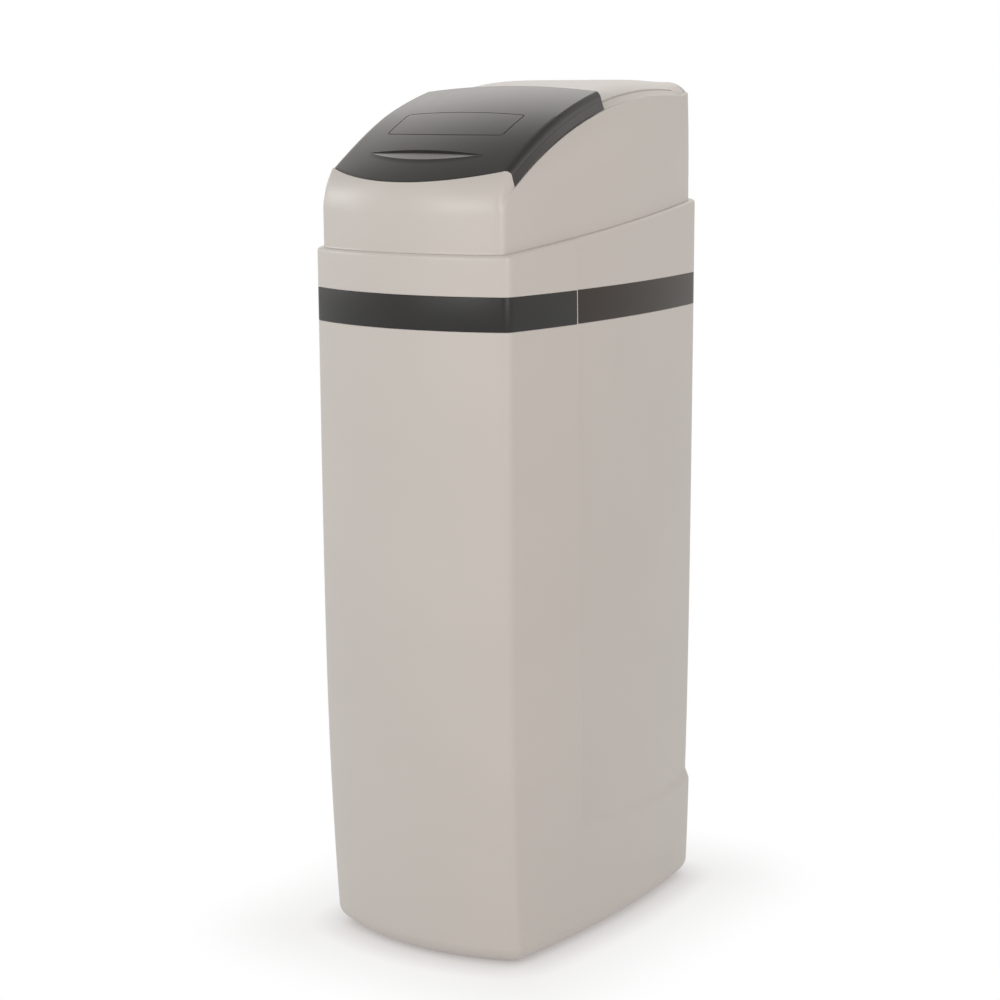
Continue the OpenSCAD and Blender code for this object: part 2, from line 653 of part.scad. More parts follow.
module neck_o_ring() {
    color(black) at_tank() translate([0, 0, neck_z + seal_r])
        rotate_extrude() translate([seal_ring_r, 0]) circle(r = seal_r);
}

// Valve: a block on the vessel's neck, ports to the back, a disc chamber and gears on top
flange_h = 20;
flange_r = neck_r + neck_wall + 6;
block_half_w = port_x + port_r + 4;
gear_distance = gear_module * (gear_teeth + pinion_teeth) / 2;
motor_r = min(15, gear_distance - chamber_r - 9);
block_front = gear_distance - motor_r - 3;
block_back = 50;
block_top = port_z + port_r + 8;
chamber_wall = 8;
chamber_h = 16;
chamber_top = block_top + chamber_h;
plate_t = 4;
plate_top = chamber_top + plate_t;
gear_z = plate_top + 2;
motor_h = 24;
motor_shaft_r = 2;
motor_y = tank_y - gear_distance;
port_end = back_y - port_setback;
port_free = 30;
collar_r = port_r + 4;
collar_t = 5;
port_bore_r = port_r - 4.5;
screw_r = 2;
screw_ring = chamber_r + chamber_wall / 2;
screw_angles = [30, 150, 210, 330];
brine_z = block_top - 62;
brine_y = tank_y - block_front + 14;
brine_plug = 12;
injector_z = block_top - 62;
injector_y = tank_y + 24;
injector_bore = 8;
injector_depth = 26;
drain_y = tank_y + 12;
drain_z = port_z;
drain_bore_r = 7;
drain_plug = 6;
module along_x(x0, x1, r) {
    translate([min(x0, x1), 0, 0]) rotate([0, 90, 0]) cylinder(h = abs(x1 - x0), r = r);
}
module valve_body() {
    color([0.2, 0.2, 0.21]) difference() {
        union() {
            at_tank() translate([0, 0, neck_z]) cylinder(h = flange_h + 4, r = flange_r);
            at_tank() translate([0, 0, neck_z - plug_h]) cylinder(h = plug_h + 4, r = neck_r - boot_gap);
            translate([-block_half_w, tank_y - block_front, neck_z + flange_h])
                cube([2 * block_half_w, block_front + block_back, block_top - neck_z - flange_h]);
            at_tank() translate([0, 0, block_top - 4])
                cylinder(h = chamber_h + 4, r = chamber_r + chamber_wall);
            for (s = [-1, 1]) translate([s * port_x, 0, port_z]) {
                along_y(tank_y + block_back - 6, port_end, port_r);
                along_y(port_end - port_free - collar_t, port_end - port_free, collar_r);
            }
        }
        at_tank() translate([0, 0, neck_z - plug_h - 1])
            cylinder(h = plug_h + socket_h + 1, r = riser_r + socket_gap);
        at_tank() translate([0, 0, neck_z]) rotate_extrude()
            translate([seal_ring_r - seal_r - 0.6, -1]) square([2 * seal_r + 1.2, 2 * seal_r + 1.1]);
        at_tank() translate([0, 0, block_top]) cylinder(h = chamber_h + 1, r = chamber_r);
        for (s = [-1, 1]) translate([s * port_x, 0, port_z])
            along_y(tank_y + block_back - 40, port_end + 1, port_bore_r);
        at_tank() for (a = screw_angles) rotate([0, 0, a]) translate([screw_ring, 0, chamber_top - 12])
            cylinder(h = 13, r = screw_r + run_gap);
        translate([0, brine_y, brine_z])
            along_x(-block_half_w - 1, -block_half_w + brine_plug + 1, line_r + 2 + run_gap);
        translate([0, injector_y, injector_z])
            along_x(-block_half_w - 1, -block_half_w + injector_depth, injector_bore);
        translate([0, drain_y, drain_z])
            along_x(block_half_w + 1, block_half_w - drain_plug - 0.5, drain_bore_r + run_gap);
    }
}
disc_t = 5;
disc_gap = 0.3;
module fixed_disc() {
    color([0.85, 0.86, 0.88]) at_tank() difference() {
        translate([0, 0, block_top]) cylinder(h = disc_t, r = chamber_r - disc_gap);
        for (k = [0:4]) rotate([0, 0, k * 72]) translate([chamber_r * 0.6, 0, block_top - 1])
            cylinder(h = disc_t + 2, r = chamber_r * 0.17);
    }
}
moving_z = block_top + disc_t + run_gap;
module moving_disc() {
    color([0.8, 0.82, 0.85]) at_tank() difference() {
        translate([0, 0, moving_z]) cylinder(h = disc_t, r = chamber_r - 2 * disc_gap);
        for (k = [0:1]) rotate([0, 0, k * 144]) translate([chamber_r * 0.6, 0, moving_z - 1])
            cylinder(h = disc_t + 2, r = chamber_r * 0.17);
    }
}
module valve_spindle() {
    foot = moving_z + disc_t;
    color(steel_grey) at_tank() {
        translate([0, 0, foot]) cylinder(h = chamber_top - foot - 0.5, r = spindle_r + 4);
        translate([0, 0, foot]) cylinder(h = gear_z + gear_t - foot, r = spindle_r);
    }
}

// Involute teeth: flank points where the unwound string reaches each radius
pressure_angle = 20;
flank_steps = 4;
function unwind(base, r) = sqrt(max(0, r * r / (base * base) - 1)) * 180 / PI;
function roll_angle(base, r) = let (u = unwind(base, r)) u - atan(u * PI / 180);
function flank(base, low, high, half) =
    [for (k = [0:flank_steps]) let (r = low + (high - low) * k / flank_steps)
        [r, half - roll_angle(base, max(r, base))]];
function tooth(teeth) =
    let (pitch = gear_module * teeth / 2, base = pitch * cos(pressure_angle),
        root = pitch - 1.25 * gear_module,
        low = max(root, base), high = pitch + gear_module,
        half = 90 / teeth - gear_play / (4 * pitch) * 180 / PI + roll_angle(base, pitch),
        side = flank(base, low, high, half))
    concat([[root, -half]], [for (f = side) [f[0], -f[1]]], backwards(side), [[root, half]]);
module gear_form(teeth, turned) {
    polygon([for (k = [0:teeth - 1]) for (f = tooth(teeth))
        f[0] * [cos(turned + k * 360 / teeth + f[1]), sin(turned + k * 360 / teeth + f[1])]]);
}
module drive_gear() {
    color(white) at_tank() translate([0, 0, gear_z]) difference() {
        linear_extrude(gear_t) gear_form(gear_teeth, -90);
        translate([0, 0, -1]) cylinder(h = gear_t + 2, r = spindle_r);
        for (k = [0:4]) rotate([0, 0, k * 72]) translate([gear_distance * 0.44, 0, -1])
            cylinder(h = gear_t + 2, r = gear_distance * 0.15);
    }
}
motor_stub = 10;
module motor_pinion() {
    color([0.75, 0.72, 0.62]) translate([0, motor_y, 0]) {
        translate([0, 0, gear_z]) linear_extrude(gear_t) gear_form(pinion_teeth, 90 + 180 / pinion_teeth);
        translate([0, 0, chamber_top - motor_stub])
            cylinder(h = gear_z + gear_t / 2 - chamber_top + motor_stub, r = motor_shaft_r);
    }
}
module disc_cover() {
    color([0.25, 0.25, 0.26]) difference() {
        union() {
            at_tank() translate([0, 0, chamber_top]) cylinder(h = plate_t, r = chamber_r + chamber_wall + 2);
            translate([-motor_r, motor_y, chamber_top]) cube([2 * motor_r, gear_distance, plate_t]);
            translate([0, motor_y, chamber_top]) cylinder(h = plate_t, r = motor_r + 2);
        }
        at_tank() translate([0, 0, chamber_top - 1]) cylinder(h = plate_t + 2, r = spindle_r + run_gap);
        translate([0, motor_y, chamber_top - 1]) cylinder(h = plate_t + 2, r = motor_shaft_r + 1);
        at_tank() for (a = screw_angles) rotate([0, 0, a]) translate([screw_ring, 0, chamber_top - 1])
            cylinder(h = plate_t + 2, r = screw_r + run_gap);
    }
}
screw_head_h = 1.6;
module valve_screws() {
    color(steel_grey) at_tank() for (a = screw_angles) rotate([0, 0, a]) translate([screw_ring, 0, 0]) {
        translate([0, 0, chamber_top - 10]) cylinder(h = plate_t + 10 + screw_head_h / 2, r = screw_r);
        translate([0, 0, plate_top]) cylinder(h = screw_head_h, r = 2 * screw_r);
    }
}
module drive_motor() {
    color([0.62, 0.62, 0.6]) difference() {
        union() {
            translate([0, motor_y, chamber_top - motor_h]) cylinder(h = motor_h, r = motor_r);
            translate([-6, motor_y - motor_r - 1, chamber_top - motor_h + 3]) cube([12, motor_r, 8]);
        }
        translate([0, motor_y, chamber_top - motor_stub - 1])
            cylinder(h = motor_stub + 2, r = motor_shaft_r + run_gap);
    }
}
cap_t = 7;
module injector() {
    color([0.8, 0.2, 0.18]) translate([0, injector_y, injector_z]) difference() {
        along_x(-block_half_w, -block_half_w + injector_depth - 1, injector_bore - run_gap);
        along_x(-block_half_w - 1, -block_half_w + injector_depth + 1, 1.5);
        along_x(-block_half_w + 8, -block_half_w + 14, injector_bore / 2);
    }
}
module injector_cap() {
    color(black) translate([0, injector_y, injector_z])
        along_x(-block_half_w - cap_t, -block_half_w, injector_bore + 5);
}
connector_drop = 22;
line_end_z = brine_z - 8;
module brine_connector() {
    color(white) translate([0, brine_y, brine_z]) difference() {
        union() {
            along_x(well_c.x, -block_half_w + brine_plug, line_r + 2);
            along_x(-block_half_w - 5, -block_half_w, line_r + 5);
            translate([well_c.x, 0, 0]) sphere(r = line_r + 3);
            translate([well_c.x, 0, -connector_drop]) cylinder(h = connector_drop, r = line_r + 3);
        }
        along_x(well_c.x, -block_half_w + brine_plug + 1, line_r - 1.5);
        translate([well_c.x, 0, -connector_drop - 1]) cylinder(h = connector_drop + 1, r = line_r - 1.5);
        translate([well_c.x, 0, -connector_drop - 1])
            cylinder(h = connector_drop + 1 + line_end_z - brine_z, r = line_r + run_gap);
    }
}
drain_reach = 16;
drain_end = port_end;
spigot_r = 6.4;
module drain_elbow() {
    x = block_half_w + drain_reach;
    color(white) difference() {
        union() {
            translate([0, drain_y, drain_z]) along_x(block_half_w - drain_plug, x, drain_bore_r);
            translate([0, drain_y, drain_z]) along_x(block_half_w, block_half_w + 5, drain_bore_r + 4);
            translate([x, drain_y, drain_z]) sphere(r = drain_bore_r + 2);
            translate([x, 0, drain_z]) along_y(drain_y, drain_end, spigot_r);
            translate([x, 0, drain_z]) along_y(drain_y, drain_end - port_free, drain_bore_r + 1);
        }
        translate([0, drain_y, drain_z]) along_x(block_half_w - drain_plug - 1, x, spigot_r - 2);
        translate([x, 0, drain_z]) along_y(drain_y, drain_end + 1, spigot_r - 2);
    }
}

// Control panel: a leaning housing ahead of the valve, with local Z out of its face
panel_clear = 3;
panel_back_y = motor_y - gear_module * (pinion_teeth / 2 + 1) - panel_clear;
panel_low = 30;
panel_y = panel_back_y - (panel_len - panel_low) * cos(panel_tilt) - panel_depth * sin(panel_tilt);
panel_z = plate_top - 10;
button_row = -14;
button_x = [-36, -12, 12, 36];
window_half_w = 30;
window_low = 4;
window_h = 28;
window_t = 2;
window_lip = 2;
button_flange = 1.6;
button_proud = 1.5;
board_t = 1.6;
board_z = -panel_wall - button_gap - button_flange - button_travel - 2.4;
dome_gap = 0.2;
module at_panel() {
    translate([0, panel_y, panel_z]) rotate([panel_tilt, 0, 0]) children();
}
boss_x = panel_half_w - panel_wall - 5;
module control_housing() {
    lug_w = 12;
    lug_z = panel_z - panel_low * sin(panel_tilt) - panel_depth * cos(panel_tilt) + 4;
    lug_y = panel_y - panel_low * cos(panel_tilt) + panel_depth * sin(panel_tilt) - 6;
    color([0.16, 0.16, 0.17]) union() {
        at_panel() difference() {
            translate([-panel_half_w, -panel_low, -panel_depth])
                cube([2 * panel_half_w, panel_len, panel_depth]);
            translate([panel_wall - panel_half_w, panel_wall - panel_low, -panel_depth - 1])
                cube([2 * (panel_half_w - panel_wall), panel_len - 2 * panel_wall,
                    panel_depth + 1 - panel_wall]);
            for (x = button_x) translate([x, button_row, -panel_wall - 1])
                cylinder(h = panel_wall + 2, r = button_r + button_gap);
            translate([-window_half_w, window_low, -window_t - dome_gap])
                cube([2 * window_half_w, window_h, window_t + 1]);
            translate([window_lip - window_half_w, window_low + window_lip, -panel_wall - 1])
                cube([2 * (window_half_w - window_lip), window_h - 2 * window_lip, panel_wall + 2]);
        }
        at_panel() for (x = [-boss_x, boss_x]) for (y = [6 - panel_low, panel_len - panel_low - 8])
            translate([x, y, board_z]) cylinder(h = -board_z - panel_wall / 2, r = 3);
        for (s = [-1, 1]) translate([s * (panel_half_w - 20) - lug_w / 2, lug_y, lug_z])
            cube([lug_w, tank_y - block_front - lug_y, 6]);
    }
}
module display_window() {
    color([0.25, 0.32, 0.3]) at_panel()
        translate([dome_gap - window_half_w, window_low + dome_gap, -window_t - dome_gap])
            cube([2 * (window_half_w - dome_gap), window_h - 2 * dome_gap, window_t]);
}
module control_board() {
    color([0.1, 0.35, 0.2]) at_panel() {
        translate([panel_wall + 1 - panel_half_w, panel_wall + 1 - panel_low, board_z - board_t])
            cube([2 * (panel_half_w - panel_wall - 1), panel_len - 2 * panel_wall - 2, board_t]);
        translate([-26, window_low + 3, board_z - board_t / 2]) cube([52, window_h - 6, board_t / 2 + 3]);
        for (x = button_x) translate([x, button_row, board_z - board_t / 2])
            cylinder(h = board_t / 2 + 2.4 - dome_gap, r = 2.5);
    }
}
module panel_button(index) {
    color([0.55, 0.55, 0.54]) at_panel() translate([button_x[index], button_row, 0]) {
        translate([0, 0, -panel_wall - button_gap - button_flange])
            cylinder(h = button_flange, r = button_r + 1.4);
        translate([0, 0, -panel_wall - button_gap - button_flange])
            cylinder(h = panel_wall + button_gap + button_flange + button_proud, r = button_r);
    }
}
module menu_button() {
    panel_button(0);
}
module up_button() {
    panel_button(1);
}
module down_button() {
    panel_button(2);
}
module regen_button() {
    panel_button(3);
}

// Brine side: the well stands beside the vessel's front left
well_bearing = 243;
well_c = [0, tank_y] + (boot_r + well_gap + well_r) * [cos(well_bearing), sin(well_bearing)];
well_top = floor_z + well_h;
line_z = well_top - 14;
module at_well() {
    translate([well_c.x, well_c.y, 0]) children();
}
module brine_well() {
    color(white) at_well() difference() {
        translate([0, 0, floor_z]) cylinder(h = well_h, r = well_r);
        translate([0, 0, floor_z - 1]) cylinder(h = well_h + 2, r = well_r - well_wall);
        for (a = [0, 60, 120]) rotate([0, 0, a]) translate([0, 0, floor_z + 20])
            along_y(-well_r - 5, well_r + 5, 4);
        translate([-line_r - 1, 0, line_z - line_r - 1])
            cube([2 * line_r + 2, well_r + 5, well_top - line_z + line_r + 2]);
    }
}
cap_skirt = 8;
cap_wall = 2.5;
cap_gap = 0.3;
module brine_well_cap() {
    color(black) at_well() difference() {
        translate([0, 0, well_top - cap_skirt])
            cylinder(h = cap_skirt + cap_wall + cap_gap, r = well_r + cap_gap + cap_wall);
        translate([0, 0, well_top - cap_skirt - 1])
            cylinder(h = cap_skirt + 1 + cap_gap, r = well_r + cap_gap);
        translate([-line_r - 1, well_r - 6, well_top - cap_skirt - 1])
            cube([2 * line_r + 2, 20, cap_skirt + 1 + cap_gap]);
    }
}
foot_r = well_r - well_wall - 6;
foot_h = 6;
column_r = 14;
column_h = 52;
arm_z = floor_z + 56;
arm_h = 8;
rod_x = 24;
rod_r = 2;
module brine_valve() {
    color(white) at_well() difference() {
        union() {
            translate([0, 0, floor_z]) cylinder(h = foot_h, r = foot_r);
            translate([0, 0, floor_z]) cylinder(h = column_h + arm_h + 4, r = column_r);
            translate([0, -7, arm_z]) cube([rod_x + 7, 14, arm_h]);
        }
        translate([0, 0, floor_z + column_h]) cylinder(h = 40, r = line_r + run_gap);
        translate([0, 0, floor_z - 1]) cylinder(h = column_h + 2, r = line_r - 1.5);
        translate([rod_x, 0, arm_z - 1]) cylinder(h = arm_h + 2, r = rod_r + run_gap);
        translate([rod_x, 0, floor_z - 1]) cylinder(h = foot_h + 2, r = rod_r + 1);
    }
}
float_h = 46;
float_r = well_r - well_wall - 6;
collar_h = 4;
module float_rod() {
    color(steel_grey) at_well() translate([rod_x, 0, 0]) {
        translate([0, 0, arm_z - float_travel - 14])
            cylinder(h = float_z + float_h + 8 - arm_z + float_travel + 14, r = rod_r);
        translate([0, 0, arm_z + arm_h + seat_gap]) cylinder(h = collar_h, r = 2 * rod_r);
        translate([0, 0, arm_z - float_travel - 0.6 - collar_h]) cylinder(h = collar_h, r = 2 * rod_r);
        translate([0, 0, float_z - collar_h]) cylinder(h = collar_h, r = 2 * rod_r);
    }
}
module brine_float() {
    color([0.85, 0.5, 0.15]) at_well() difference() {
        translate([0, 0, float_z]) cylinder(h = float_h, r = float_r);
        translate([0, 0, float_z - 1]) cylinder(h = float_h + 2, r = line_r + 1.2);
        translate([rod_x, 0, float_z - 1]) cylinder(h = float_h + 2, r = rod_r + run_gap);
    }
}

// Brine line: up the well, back over the vessel's shoulder and up into the valve's connector
line_turn_y = brine_y - line_bend;
module elbow_form() {
    rotate_extrude(angle = 90) translate([line_bend, 0]) circle(r = line_r);
}
module brine_line() {
    color([0.92, 0.92, 0.92]) translate([well_c.x, 0, 0]) {
        translate([0, well_c.y, floor_z + column_h])
            cylinder(h = line_z - line_bend - floor_z - column_h, r = line_r);
        translate([0, well_c.y + line_bend, line_z - line_bend]) rotate([90, 0, -90]) elbow_form();
        translate([0, 0, line_z]) along_y(well_c.y + line_bend, line_turn_y, line_r);
        translate([0, line_turn_y, line_z + line_bend]) rotate([90, 0, -90]) rotate([0, 0, 180])
            elbow_form();
        translate([0, brine_y, line_z + line_bend])
            cylinder(h = line_end_z - line_z - line_bend, r = line_r);
    }
}

// Overflow through the tub's back wall
gasket_t = 2;
overflow_flange = 4;
nut_h = 8;
nut_r = 17;
spigot_len = 24;
overflow_spigot_r = 8;
module overflow_fitting() {
    y0 = overflow_in_y - gasket_t - overflow_flange;
    y1 = overflow_y + nut_h + 4;
    color(black) at_overflow() difference() {
        union() {
            along_y(y0, y0 + overflow_flange, overflow_r + 5);
            along_y(y0, y1, overflow_r - run_gap);
            along_y(y0, y1 + spigot_len, overflow_spigot_r);
        }
        along_y(y0 - 1, y1 + spigot_len + 1, overflow_spigot_r - 2);
    }
}
module overflow_nut() {
    color(black) at_overflow() difference() {
        translate([0, overflow_y, 0]) rotate([-90, 0, 0]) cylinder(h = nut_h, r = nut_r, $fn = 6);
        along_y(overflow_y - 1, overflow_y + nut_h + 1, overflow_r);
    }
}
module overflow_gasket() {
    color([0.3, 0.3, 0.3]) at_overflow() difference() {
        along_y(overflow_in_y - gasket_t, overflow_in_y, overflow_r + 5);
        along_y(overflow_in_y - gasket_t - 1, overflow_in_y + 1, overflow_r);
    }
}

cabinet();
front_trim_band();
rear_trim_band();
top_cover();
salt_lid();
tank_boot();
resin_tank();
resin_bed();
riser_tube();
lower_distributor();
upper_distributor();
neck_o_ring();
valve_body();
fixed_disc();
moving_disc();
valve_spindle();
drive_gear();
disc_cover();
valve_screws();
drive_motor();
motor_pinion();
injector();
injector_cap();
brine_connector();
drain_elbow();
control_housing();
display_window();
control_board();
menu_button();
up_button();
down_button();
regen_button();
brine_well();
brine_well_cap();
brine_valve();
brine_line();
float_rod();
brine_float();
overflow_fitting();
overflow_nut();
overflow_gasket();
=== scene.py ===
"""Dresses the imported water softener: shells as computed surfaces, finishes as node trees, and a studio."""
import json
import logging
import math
from dataclasses import dataclass
from enum import Enum

import bmesh
import bpy
import numpy as np
from mathutils import Matrix, Vector


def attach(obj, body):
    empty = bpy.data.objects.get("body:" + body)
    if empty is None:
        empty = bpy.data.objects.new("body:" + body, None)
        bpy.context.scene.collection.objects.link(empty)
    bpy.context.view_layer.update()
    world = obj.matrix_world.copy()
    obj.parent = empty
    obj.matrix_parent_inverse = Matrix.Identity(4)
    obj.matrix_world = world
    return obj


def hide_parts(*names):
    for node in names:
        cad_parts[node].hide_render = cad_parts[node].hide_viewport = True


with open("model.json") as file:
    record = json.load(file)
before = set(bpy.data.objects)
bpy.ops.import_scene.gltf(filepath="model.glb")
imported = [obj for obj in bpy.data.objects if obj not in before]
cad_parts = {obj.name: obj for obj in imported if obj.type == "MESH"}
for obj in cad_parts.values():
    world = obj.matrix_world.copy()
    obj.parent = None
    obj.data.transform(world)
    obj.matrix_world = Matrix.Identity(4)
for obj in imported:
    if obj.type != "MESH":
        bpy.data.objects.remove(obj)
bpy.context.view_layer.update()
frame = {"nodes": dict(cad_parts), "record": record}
MM = 0.001
LOG = logging.getLogger("softener")
Array = np.ndarray
MIRROR = np.array([-1.0, 1.0])


def smooth(t: Array) -> Array:
    """Smooth step: 3t^2 - 2t^3, held between 0 and 1."""
    held = np.clip(t, 0.0, 1.0)
    return held * held * (3.0 - 2.0 * held)


def ramp(t: Array, softness: float) -> Array:
    """Straight ramp from 0 to 1 with rounded ends: half of |t| - |t - 1| + 1, each length softened."""
    return (np.hypot(t, softness) - np.hypot(t - 1.0, softness) + 1.0) / 2.0


def mix(a: Array, b: Array, t: Array) -> Array:
    """Straight mix from a at t = 0 to b at t = 1."""
    return a + (b - a) * t


def even(count: int) -> Array:
    """Fractions above 0 up to 1 in equal parts."""
    return np.linspace(0.0, 1.0, count + 1)[1:]


def quarter(count: int) -> Array:
    """Angles of a quarter turn, both ends included."""
    return np.radians(np.linspace(0.0, 90.0, count))


def each(*values: object) -> list[Array]:
    """Gives every value the same number of rows."""
    return np.broadcast_arrays(*(np.atleast_1d(np.asarray(v, float)) for v in values))


@dataclass(frozen=True)
class Bow:
    """One arc of a plan.

    Args:
        x: centre in mm.
        y: centre in mm.
        radius: radius in mm.
    """

    x: float
    y: float
    radius: float


def crossing(a: Bow, ra: Array, b: Bow, rb: Array, side: float) -> tuple[Array, Array]:
    """Finds where two circles cross.

    Along the line between the centres the foot lies at t = (ra^2 - rb^2 + d^2) / 2d, and the crossing stands
    sqrt(ra^2 - t^2) to the left (side 1) or right (side -1) of it.

    Args:
        a: first circle's centre.
        ra: its radius in each ring.
        b: second circle's centre.
        rb: its radius in each ring.
        side: 1 or -1.

    Returns:
        The crossing's x and y in each ring.
    """
    vx, vy = b.x - a.x, b.y - a.y
    d = math.hypot(vx, vy)
    t = (ra * ra - rb * rb + d * d) / (2.0 * d)
    h = side * np.sqrt(np.maximum(ra * ra - t * t, 0.0))
    return a.x + (t * vx - h * vy) / d, a.y + (t * vy + h * vx) / d


def turn(x: Array, y: Array, radius: Array, start: Array, end: Array, parts: Array) -> tuple[Array, Array]:
    """Lays points and outward normals on an arc in each ring.

    Args:
        x: centre in each ring.
        y: centre in each ring.
        radius: radius in each ring.
        start: first angle in each ring.
        end: last angle in each ring.
        parts: fractions of the way at which points lie.

    Returns:
        Points and normals, each rings x points x 2.
    """
    x, y, radius, start, end = each(x, y, radius, start, end)
    angle = start[:, None] + (end - start)[:, None] * parts
    normal = np.stack([np.cos(angle), np.sin(angle)], -1)
    return np.stack([x, y], -1)[:, None, :] + radius[:, None, None] * normal, normal


@dataclass(frozen=True)
class Outline:
    """A closed plan of a bowed front, two bowed sides and a bowed back, with filleted corners.

    Args:
        front: the front's arc.
        side: the right side's arc.
        back: the back's arc.
    """

    front: Bow
    side: Bow
    back: Bow
    front_parts: int = 44
    corner_parts: int = 12
    side_parts: int = 18
    fine_parts: int = 18
    after_parts: int = 12
    rear_parts: int = 38
    back_parts: int = 22
    fine_share: float = 0.26

    @property
    def split(self) -> int:
        """Column at which the marked stretch of the side starts."""
        return self.front_parts + self.corner_parts + self.side_parts

    def half(self, insets: tuple, fillets: tuple, mark: Array, run: float) -> tuple[Array, Array]:
        """Lays the right half: front, corner fillet, side, marked stretch, rest of the side, fillet, back.

        Args:
            insets: how far the front, side and back are drawn in, in each ring.
            fillets: front and rear fillets in each ring.
            mark: y at which a finely divided stretch of the side starts.
            run: length of that stretch.

        Returns:
            Points and normals, rings x columns x 2.
        """
        front_in, side_in, back_in, front_f, rear_f, mark = each(*insets, *fillets, mark)
        fr, sr, br = self.front.radius - front_in, self.side.radius - side_in, self.back.radius - back_in
        nx, ny = crossing(self.front, fr - front_f, self.side, sr - front_f, 1.0)
        rx, ry = crossing(self.back, br - rear_f, self.side, sr - rear_f, -1.0)
        a1 = np.arctan2(ny - self.front.y, nx - self.front.x)
        a2 = np.arctan2(ny - self.side.y, nx - self.side.x)
        a3 = np.arctan2(ry - self.side.y, rx - self.side.x)
        a4 = np.arctan2(ry - self.back.y, rx - self.back.x)
        k1 = np.arcsin((mark - self.side.y) / sr)
        k2 = np.arcsin((mark + run - self.side.y) / sr)
        stretch = np.concatenate([even(self.fine_parts) * self.fine_share,
                                  mix(self.fine_share, 1.0, even(self.after_parts))])
        arcs = [
            turn(self.front.x, self.front.y, fr, -math.pi / 2, a1,
                 np.linspace(0.0, 1.0, self.front_parts + 1)),
            turn(nx, ny, front_f, a1, a2, even(self.corner_parts)),
            turn(self.side.x, self.side.y, sr, a2, k1, even(self.side_parts)),
            turn(self.side.x, self.side.y, sr, k1, k2, stretch),
            turn(self.side.x, self.side.y, sr, k2, a3, even(self.rear_parts)),
            turn(rx, ry, rear_f, a3, a4, even(self.corner_parts)),
            turn(self.back.x, self.back.y, br, a4, math.pi / 2, even(self.back_parts)),
        ]
        return np.concatenate([p for p, _ in arcs], 1), np.concatenate([n for _, n in arcs], 1)

    def loop(self, insets: tuple, fillets: tuple, mark: Array, run: float) -> tuple[Array, Array]:
        """Lays the whole plan: the right half, then its mirror image back to the start."""
        halves = self.half(insets, fillets, mark, run)
        points, normals = (np.concatenate([half, half[:, -2:0:-1] * MIRROR], 1) for half in halves)
        return points, normals


class Surface:
    """Gathers grids of points and the faces between them into one mesh."""

    merge = 1e-6
    crease = math.radians(32.0)

    def __init__(self) -> None:
        """Starts with no points."""
        self.points: list[Array] = []
        self.faces: list[list[int]] = []
        self.count = 0

    def add(self, grid: Array) -> Array:
        """Adds a grid of points in mm and returns their numbers in the same layout."""
        numbers = self.count + np.arange(grid.shape[0] * grid.shape[1]).reshape(grid.shape[:2])
        self.points.append(grid.reshape(-1, 3))
        self.count += numbers.size
        return numbers

    def skin(self, numbers: Array, loop_rows: bool = False, loop_columns: bool = False) -> None:
        """Lays quads between neighbours of a grid of numbers.

        Args:
            numbers: point numbers, rows x columns.
            loop_rows: joins the last row to the first.
            loop_columns: joins the last column to the first.
        """
        if loop_rows:
            numbers = np.concatenate([numbers, numbers[:1]], 0)
        if loop_columns:
            numbers = np.concatenate([numbers, numbers[:, :1]], 1)
        quads = np.stack([numbers[:-1, :-1], numbers[:-1, 1:], numbers[1:, 1:], numbers[1:, :-1]], -1)
        self.faces.extend(quads.reshape(-1, 4).tolist())

    def cap(self, ring: Array) -> None:
        """Closes a ring of numbers with one face."""
        self.faces.append(ring.tolist())

    def make(self, name: str) -> bpy.types.Object:
        """Makes the object: merges doubles, turns faces outward, shades smooth except at creases.

        Args:
            name: the piece's name.

        Returns:
            The object, linked to the scene.
        """
        mesh = bpy.data.meshes.new(name)
        mesh.from_pydata((np.concatenate(self.points) * MM).tolist(), [], self.faces)
        work = bmesh.new()
        work.from_mesh(mesh)
        bmesh.ops.remove_doubles(work, verts=work.verts[:], dist=self.merge)
        bmesh.ops.dissolve_degenerate(work, edges=work.edges[:], dist=self.merge)
        bmesh.ops.recalc_face_normals(work, faces=work.faces[:])
        work.to_mesh(mesh)
        work.free()
        piece = bpy.data.objects.new(name, mesh)
        bpy.context.scene.collection.objects.link(piece)
        shade(piece)
        return piece


def shade(piece: bpy.types.Object) -> None:
    """Shades a piece smooth, with sharp edges where faces meet at more than the crease angle."""
    piece.data.shade_smooth()
    piece.data.set_sharp_from_angle(angle=Surface.crease)


def carve(piece: bpy.types.Object, cutter: bpy.types.Object) -> None:
    """Takes a closed cutter out of a piece, and removes the cutter."""
    cut = piece.modifiers.new("cut", "BOOLEAN")
    cut.operation = "DIFFERENCE"
    cut.solver = "EXACT"
    cut.object = cutter
    view = bpy.context.evaluated_depsgraph_get()
    view.update()
    made = bpy.data.meshes.new_from_object(piece.evaluated_get(view))
    piece.modifiers.clear()
    old = piece.data
    piece.data = made
    made.name = piece.name
    bpy.data.meshes.remove(old)
    bpy.data.objects.remove(cutter)
    shade(piece)


def swept(path: Array, name: str) -> bpy.types.Object:
    """Makes a closed bar from a grid of profiles along a path, with flat ends.

    Args:
        path: path points x profile points x 3, in mm.
        name: the piece's name.

    Returns:
        The bar.
    """
    surface = Surface()
    numbers = surface.add(path)
    surface.skin(numbers, loop_columns=True)
    surface.cap(numbers[0])
    surface.cap(numbers[-1])
    return surface.make(name)


class Pattern(Enum):
    """How a finish varies over its surface."""

    MOULDED = "moulded_grain"
    STIPPLED = "stippled_grain"
    WOUND = "wound_fibre"
    BEADED = "packed_beads"
    TURNED = "turned_lines"
    FOAMED = "foam_cells"
    TRACKED = "board_tracks"


